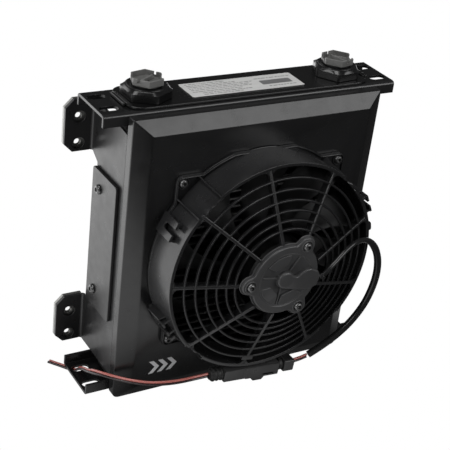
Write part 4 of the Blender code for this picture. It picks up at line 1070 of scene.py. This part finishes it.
def skirt():
    """The round skirt, recessed between two ribs beside each fixing lug."""
    rib_from, rib_to, step = 6.9, 7.6, 0.02
    angles = {i * 1.5 for i in range(240)}
    for lug in LUGS:
        angles = {a for a in angles if abs(a - lug) > 8.4}
        for i in range(-10, 11):
            angles.add(lug + i * rib_from / 10.0001)
        for edge in (rib_from, rib_from + step, rib_to, rib_to + step, 8.0):
            angles |= {lug - edge, lug + edge}

    def outer(angle):
        """The skirt's radius at its front and at its root."""
        off = min(abs((angle - lug + 180) % 360 - 180) for lug in LUGS)
        if off < rib_from:
            dent = 1 - 0.35 * math.cos(off / rib_from * 2 * math.pi)
            return SKIRT_OUT - 0.0020 * dent, SKIRT_OUT - 0.0014
        if off <= rib_to:
            return SKIRT_OUT + 0.0004, SKIRT_OUT + 0.0008
        leftward = min(1.0, max(0.0, (-math.cos(math.radians(angle)) - 0.72) / 0.20))
        return SKIRT_OUT - 0.0002, SKIRT_OUT - 0.0024 + 0.0034 * leftward

    rings = []
    for angle in sorted(angles):
        reach, root = outer(angle)
        profile = [(SKIRT_IN, GUARD_Y + 0.0012), (SKIRT_IN + 0.0002, GUARD_Y + 0.0003),
                   (SKIRT_IN + 0.0006, GUARD_Y), (reach - 0.0006, GUARD_Y),
                   (reach - 0.0002, GUARD_Y + 0.0002), (reach, GUARD_Y + 0.0008),
                   (root, FLANGE_FACE + 0.0015), (SKIRT_IN, FLANGE_FACE + 0.0015)]
        rings.append([polar(radius, angle, y) for radius, y in profile])
    return loft(rings + [rings[0]], caps=False)


def flange():
    """The fixing flange: a ring with four square corners, a cut-off top and a low lip."""
    corner, top = 0.0822, 0.0962
    bend = math.degrees(math.acos(corner / FLANGE_R))
    points = []
    for quarter in range(4):
        side = 90 * quarter
        points += [(a, min(b, top)) for a, b in arc(0, 0, FLANGE_R, side - bend, side + bend, 24)]
        points.append(on_circle(0, 0, corner * math.sqrt(2), side + 45))
    outline = rounded([(x, AXIS_Z + z) for x, z in points], 0.0062, 5)
    bolts = bolt_circle(LUG_R, LUGS, BOLT_HOLE_R, 20)
    opening = circle(0, AXIS_Z, SKIRT_IN + 0.0004, 120)
    lip = plate(inset(outline, 0.0002), [inset(outline, 0.0014)], "XZ", FLANGE_FACE - 0.0016, 0.0024,
                0.0005, 2)
    return [plate(outline, bolts + [opening], "XZ", FLANGE_FACE, 0.0030, 0.0006, 3), lip]


def lug_towers():
    """Round screw seats and the thin ribs that run down from the rim to the lugs."""
    parts = []
    profile = [(0.0970, -0.0740), (0.0996, -0.0736), (0.1003, -0.0700), (0.1008, -0.0600),
               (0.1018, -0.0510), (0.1036, FLANGE_FACE + 0.0008), (0.0970, FLANGE_FACE + 0.0008)]
    for angle in LUGS:
        section = rounded(rectangle(0.0044, 0.0, 0.0056, 0.0014), 0.0004, 2)
        parts.append(lathe(section, polar(LUG_R, angle, FLANGE_FACE - 0.0012), (0, 1, 0), 32))
        for side in (-7.25, 7.25):
            parts.append(radial_wall(profile, angle + side, 0.0013))
    return parts


def radial_wall(profile, angle, thickness):
    """A thin wall in a radial plane through the motor axis, from (radius, y) points."""
    across = around(angle) * (thickness / 2)
    rings = []
    for shift, shrink in ((-1, 0.0003), (-0.6, 0.0), (0.6, 0.0), (1, 0.0003)):
        rings.append([polar(radius, angle, y) + across * shift for radius, y in inset(profile, shrink)])
    return loft(rings)


def guard_rings():
    """The six round bars of the guard, and a small tab between two of them."""
    parts = []
    half, deep = 0.0009, 0.0030
    for radius in (0.0868, 0.0776, 0.0688, 0.0605, 0.0525, 0.0455):
        front = guard_y(radius)
        section = rounded(rectangle(radius - half, front, radius + half, front + deep), 0.0006, 3)
        parts.append(about_motor(section, 120))
    clip = [(0.0858, 256.2), (0.0858, 263.6), (0.0905, 263.6), (0.0905, 256.2)]
    corners = [tuple(polar(radius, angle, 0).xz) for radius, angle in clip]
    parts.append(plate(rounded(corners, 0.0006, 2), (), "XZ", guard_y(0.088) - 0.0006, 0.0026, 0.0004, 2))
    return parts


def spokes():
    """Nine radial bars; beside each, the window's corners are rounded where it meets the rim."""
    parts = []
    outer, deep = 0.0978, 0.0080
    for i in range(9):
        angle = 20 + 40 * i
        meets_lug = i % 3 == 1
        inner = 0.0407 if meets_lug else HUB_R - 0.0015
        start = polar(inner, angle, guard_y(inner) + deep / 2)
        end = polar(outer, angle, guard_y(outer) + deep / 2)
        parts.append(bar(start, end, around(angle), 0.0030, deep, 0.0008, 0.96))
        for side in (-1, 1):
            parts.append(window_corner(angle, side))
    return parts


def window_corner(angle, side):
    """A concave fillet between a spoke and the rim, in the rim's front face."""
    radius, half, rim = 0.0062, 0.0012, 0.0965
    points = [(half, rim), (half, rim - radius)]
    points += arc(half + radius, rim - radius - 0.0004, radius, 180, 90, 9)
    outline = [on_circle(0, AXIS_Z, reach, angle + math.degrees(side * across / reach))
               for across, reach in points]
    return plate(outline, (), "XZ", GUARD_Y - 0.0001, 0.0060, 0.0004, 2)


def hub():
    """The motor mount: a stepped disc with three screw lugs, a shallow dish and a centre boss."""
    def disc(radius, lug, y, thick, edge, holes):
        """A round plate with its three lugs."""
        points = []
        for lug_at in HUB_LUGS:
            points += arc(0, AXIS_Z, radius, lug_at - 120 + 17, lug_at - 17, 20)
            points += arc(*on_circle(0, AXIS_Z, HUB_LUG_R, lug_at), lug, lug_at - 85, lug_at + 85, 14)
        return plate(points, holes, "XZ", y, thick, edge, 4)

    bolts = bolt_circle(HUB_LUG_R, HUB_LUGS, 0.0044, 28)
    dish = circle(0, AXIS_Z, 0.0252, 60)
    parts = [disc(HUB_R - 0.0022, 0.0078, HUB_FACE_Y, 0.0041, 0.0012, bolts + [dish]),
             disc(HUB_R - 0.0008, 0.0090, HUB_FACE_Y + 0.0030, 0.0014, 0.0005, ())]
    profile = [(0, -0.1016), (0.0056, -0.1016), (0.0070, -0.1012), (0.0078, -0.1003), (0.0082, -0.0972),
               (0.0100, -0.0966), (0.0236, -0.0990), (0.0250, -0.0996), (0.0256, -0.0990),
               (0.0256, -0.0955), (0, -0.0955)]
    parts.append(about_motor(profile))
    for middle_angle in (112, 222, 288):
        outline = [tuple(polar(0.0150, middle_angle + t, 0).xz) for t in (24, -24)]
        outline += [tuple(polar(0.0238, middle_angle + t, 0).xz) for t in range(-30, 31, 10)]
        parts.append(plate(rounded(outline, 0.0010, 3), (), "XZ", -0.0999, 0.0030, 0.0005, 3))
    for angle in (60, 165, 255, 330):
        parts.append(bar(polar(0.0078, angle, -0.0972), polar(0.0240, angle, -0.0992), around(angle),
                         0.0012, 0.0022, 0.0004))
    parts.append(lead_outlet())
    for angle in HUB_LUGS:
        section = rounded(rectangle(0.0043, 0.0, 0.0058, 0.0016), 0.0005, 3)
        parts.append(lathe(section, polar(HUB_LUG_R, angle, HUB_FACE_Y - 0.0006), (0, 1, 0), 36))
    return parts


def lead_outlet():
    """The low housing on the hub that carries the lead from the middle out to its collar."""
    outline = [(0.0, -0.0078), (0.0150, -0.0100), (0.0270, -0.0098), (0.0335, -0.0060), (0.0345, 0.0030),
               (0.0310, 0.0080), (0.0230, 0.0104), (0.0180, 0.0096), (0.0105, 0.0030), (0.0, 0.0070)]
    turn = Matrix.Translation((0, 0, AXIS_Z)) @ Matrix.Rotation(math.radians(8), 4, "Y")
    flat = plate(rounded(outline, 0.0022, 4), (), "XZ", -0.1014, 0.0050, 0.0014, 4)
    return turned_to(flat, turn)


def lead_saddle():
    """The collar and hook that hold the sleeved lead on the hub and on the rim."""
    start, after = Vector(SLEEVE_ROUTE[0]), Vector(SLEEVE_ROUTE[1])
    along = (after - start).normalized()
    section = rounded([(0.0024, -0.0022), (0.0036, -0.0022), (0.0034, 0.0010), (0.0024, 0.0014)], 0.0004, 3)
    parts = [lathe(section, start + along * 0.0018, along, 32)]
    parts.append(bar((0.0335, -0.0972, 0.1300), (0.0385, -0.0972, 0.1338), (0, 1, 0), 0.0036, 0.0052,
                     0.0008))
    bump = rounded([(0.0960, -0.0790), (0.1034, -0.0775), (0.1034, -0.0730), (0.0985, -0.0690),
                    (0.0960, -0.0690)], 0.0012, 3)
    parts.append(radial_wall(bump, 12.5, 0.0070))
    return parts


def cable_clip(angle, half, inner=0.1030, front=-0.0690):
    """A slotted plate that stands off the skirt on two walls, open to the front."""
    thick, back = 0.0022, -0.0458
    slot, slot_end = 0.0026, -0.0560
    outline = [(-half, back), (-half, front), (-slot, front)]
    outline += arc(0, slot_end, slot, 180, 0, 8)
    outline += [(slot, front), (half, front), (half, back)]
    flat = plate(rounded(outline, 0.0005, 2), (), "XY", inner, thick, 0.0004, 2)
    parts = [flat]
    for side in (-1, 1):
        for y0, y1 in ((front + 0.0006, front + 0.0075), (back - 0.0090, back - 0.0010)):
            x0, x1 = sorted((side * (half - 0.0004), side * (half - 0.0028)))
            wall = plate(rounded(rectangle(x0, y0, x1, y1), 0.0004, 2), (), "XY", 0.0985, inner - 0.0980,
                         0.0002, 1)
            parts.append(wall)
    out = around(angle - 90)
    frame_of_clip = Matrix((around(angle), Vector((0, 1, 0)), out)).transposed().to_4x4()
    place = Matrix.Translation((0, 0, AXIS_Z)) @ frame_of_clip
    return [turned_to(part, place) for part in parts]


def fan_frame():
    """The moulded frame with its guard and clips, and the hub."""
    parts = [skirt()] + flange() + lug_towers() + guard_rings() + spokes() + lead_saddle()
    clips = ((154, 0.0088), (207.5, 0.0080), (25, 0.0090, 0.1040, -0.0755), (333, 0.0080))
    for clip in clips:
        parts += cable_clip(*clip)
    side = [(0.0975, -0.0465), (0.1066, -0.0465), (0.1062, -0.0655), (0.0975, -0.0660)]
    parts.append(radial_wall(side, 201.5, 0.0014))
    parts.append(bar(polar(0.1020, 218.5, -0.0620), polar(0.1020, 218.5, FLANGE_FACE + 0.001),
                     around(218.5), 0.0040, 0.0075, 0.0008))
    piece("fan_guard", parts, FAN_PLASTIC, replaces=["fan_frame", "guard_grille"], sharp=42)
    piece("guard_hub", hub(), HUB_PLASTIC, sharp=42)


def fan_screws():
    """Four screws in the flange and three in the hub."""
    for i, angle in enumerate(LUGS):
        at = polar(LUG_R, angle, FLANGE_FACE - GAP)
        screw(f"fan_bolt_{i + 1}", at, (0, -1, 0), 0.0038, 0.0026, 0.0040, 0.0020, DARK_SCREW,
              f"fan_screw_{i + 1}")
    for i, angle in enumerate(HUB_LUGS):
        at = polar(HUB_LUG_R, angle, HUB_FACE_Y - GAP)
        screw(f"motor_bolt_{i + 1}", at, (0, -1, 0), 0.0038, 0.0024, 0.0060, 0.0018, STEEL,
              f"motor_screw_{i + 1}")


# ------------------------------ motor and impeller
def motor():
    """The drawn can with its rolled edge, and the vented rear cap."""
    front = HUB_FACE_Y + 0.0041 + GAP
    profile = [(0, front), (0.0262, front), (0.0272, front + 0.0003), (0.0314, front + 0.0048),
               (0.0320, front + 0.0062), (0.0320, -0.0640), (0.0316, -0.0636), (0.0316, -0.0620),
               (0.0320, -0.0616), (0.0320, -0.0600), (0.0302, -0.0600), (0.0302, front + 0.0065),
               (0.0240, front + 0.0058), (0.0083, front + 0.0058), (0.0083, front + 0.0015),
               (0, front + 0.0015)]
    piece("motor_shell", [about_motor(profile)], CORE_COAT,
          replaces=["motor_can"])
    cap = -0.0597
    ring = [(0.0083, 0.0), (0.0320, 0.0), (0.0320, 0.0042), (0.0312, 0.0050), (0.0165, 0.0050),
            (0.0155, 0.0046), (0.0100, 0.0046), (0.0095, 0.0050), (0.0038, 0.0050), (0.0035, 0.0047),
            (0.0035, 0.0042), (0.0083, 0.0042)]
    ring = [(radius, cap + height) for radius, height in ring]
    piece("motor_rear_cap", [about_motor(ring)], CORE_COAT,
          replaces=["motor_end_cap"])


def blade(phase):
    """One airfoil blade, pitched and swept, with a rounded tip."""
    centre_y, stations, count = -0.0600, 14, 10
    rings = []
    for k in range(stations + 1):
        share = k / stations
        radius = CUP_R - 0.0012 + (TIP_R - CUP_R + 0.0012) * share
        tip = max(0.0, (share - 0.9) / 0.1)
        chord = (0.0210 + 0.0130 * share) * (1 - 0.18 * tip ** 2)
        pitch = math.radians(48 - 20 * share)
        lean = phase - math.radians(16) * share ** 1.4
        ring = []
        for j in range(2 * count):
            t = j / count if j <= count else 2 - j / count
            thick = 0.0024 * (1 - 0.35 * share) * (0.16 + 1.7 * math.sqrt(t) * (1 - t) ** 0.8)
            if j in (0, count):
                thick = 0.0
            side = 0.5 if j < count else -0.5
            camber = 0.0016 * math.sin(math.pi * t)
            along = (t - 0.5) * chord
            off = side * thick + camber
            arc_length = along * math.cos(pitch) - off * math.sin(pitch)
            y = centre_y + along * math.sin(pitch) + off * math.cos(pitch)
            ring.append(polar(radius, math.degrees(lean + arc_length / radius), y))
        rings.append(ring)
    return loft(rings)


def impeller():
    """The cup over the motor, its blades and the ribs on its back."""
    front_y, back_y, wall = -0.0840, -0.0510, 0.0022
    profile = [(0.0028, back_y), (CUP_R - 0.0030, back_y), (CUP_R - 0.0012, back_y - 0.0006),
               (CUP_R, back_y - 0.0026), (CUP_R, front_y + 0.0006), (CUP_R - 0.0004, front_y),
               (CUP_R - wall + 0.0004, front_y), (CUP_R - wall, front_y + 0.0006),
               (CUP_R - wall, back_y - 0.0034), (CUP_R - wall - 0.0012, back_y - 0.0026),
               (0.0028, back_y - 0.0026)]
    parts = [about_motor(profile)]
    parts += [blade(2 * math.pi * i / BLADES) for i in range(BLADES)]
    for i in range(BLADES):
        angle = 360 / BLADES * (i + 0.5)
        parts.append(bar(polar(0.0120, angle, back_y + 0.0003), polar(0.0350, angle, back_y + 0.0003),
                         around(angle), 0.0012, 0.0010, 0.0003))
    piece("fan_wheel", parts, SHADED_BLADE_PLASTIC, body="fan_rotor", replaces=["impeller"],
          sharp=50)


def inner_parts():
    """CAD pieces whose shape is already right get their finish only."""
    finishes = {"front_bearing": STEEL, "rear_bearing": STEEL, "motor_shaft": STEEL, "impeller_clip": STEEL,
                "armature": COPPER, "commutator": COPPER, "left_magnet": CERAMIC, "right_magnet": CERAMIC,
                "left_brush": CERAMIC, "right_brush": CERAMIC, "brush_holder": PLUG_PLASTIC}
    for name, finish in finishes.items():
        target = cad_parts[name]
        target.data.materials.clear()
        target.data.materials.append(finish)


# ------------------------------ the whole cooler
camera()
studio()
floor()
wiring(connectors())
core()
channel("top_channel", TOP, 1)
channel("bottom_channel", PAD, -1)
end_plates()
rating_label()
port_boss("left", -PORT_X, 240)
port_boss("right", PORT_X, 275)
port_plug("left", -PORT_X, 32)
port_plug("right", PORT_X, 103)
shroud()
flow_mark()
for side, sign in (("left", -1), ("right", 1)):
    side_plate(side, sign)
    nut_plates(side, sign)
    cover_panel(side, sign)
fan_frame()
fan_screws()
motor()
impeller()
inner_parts()
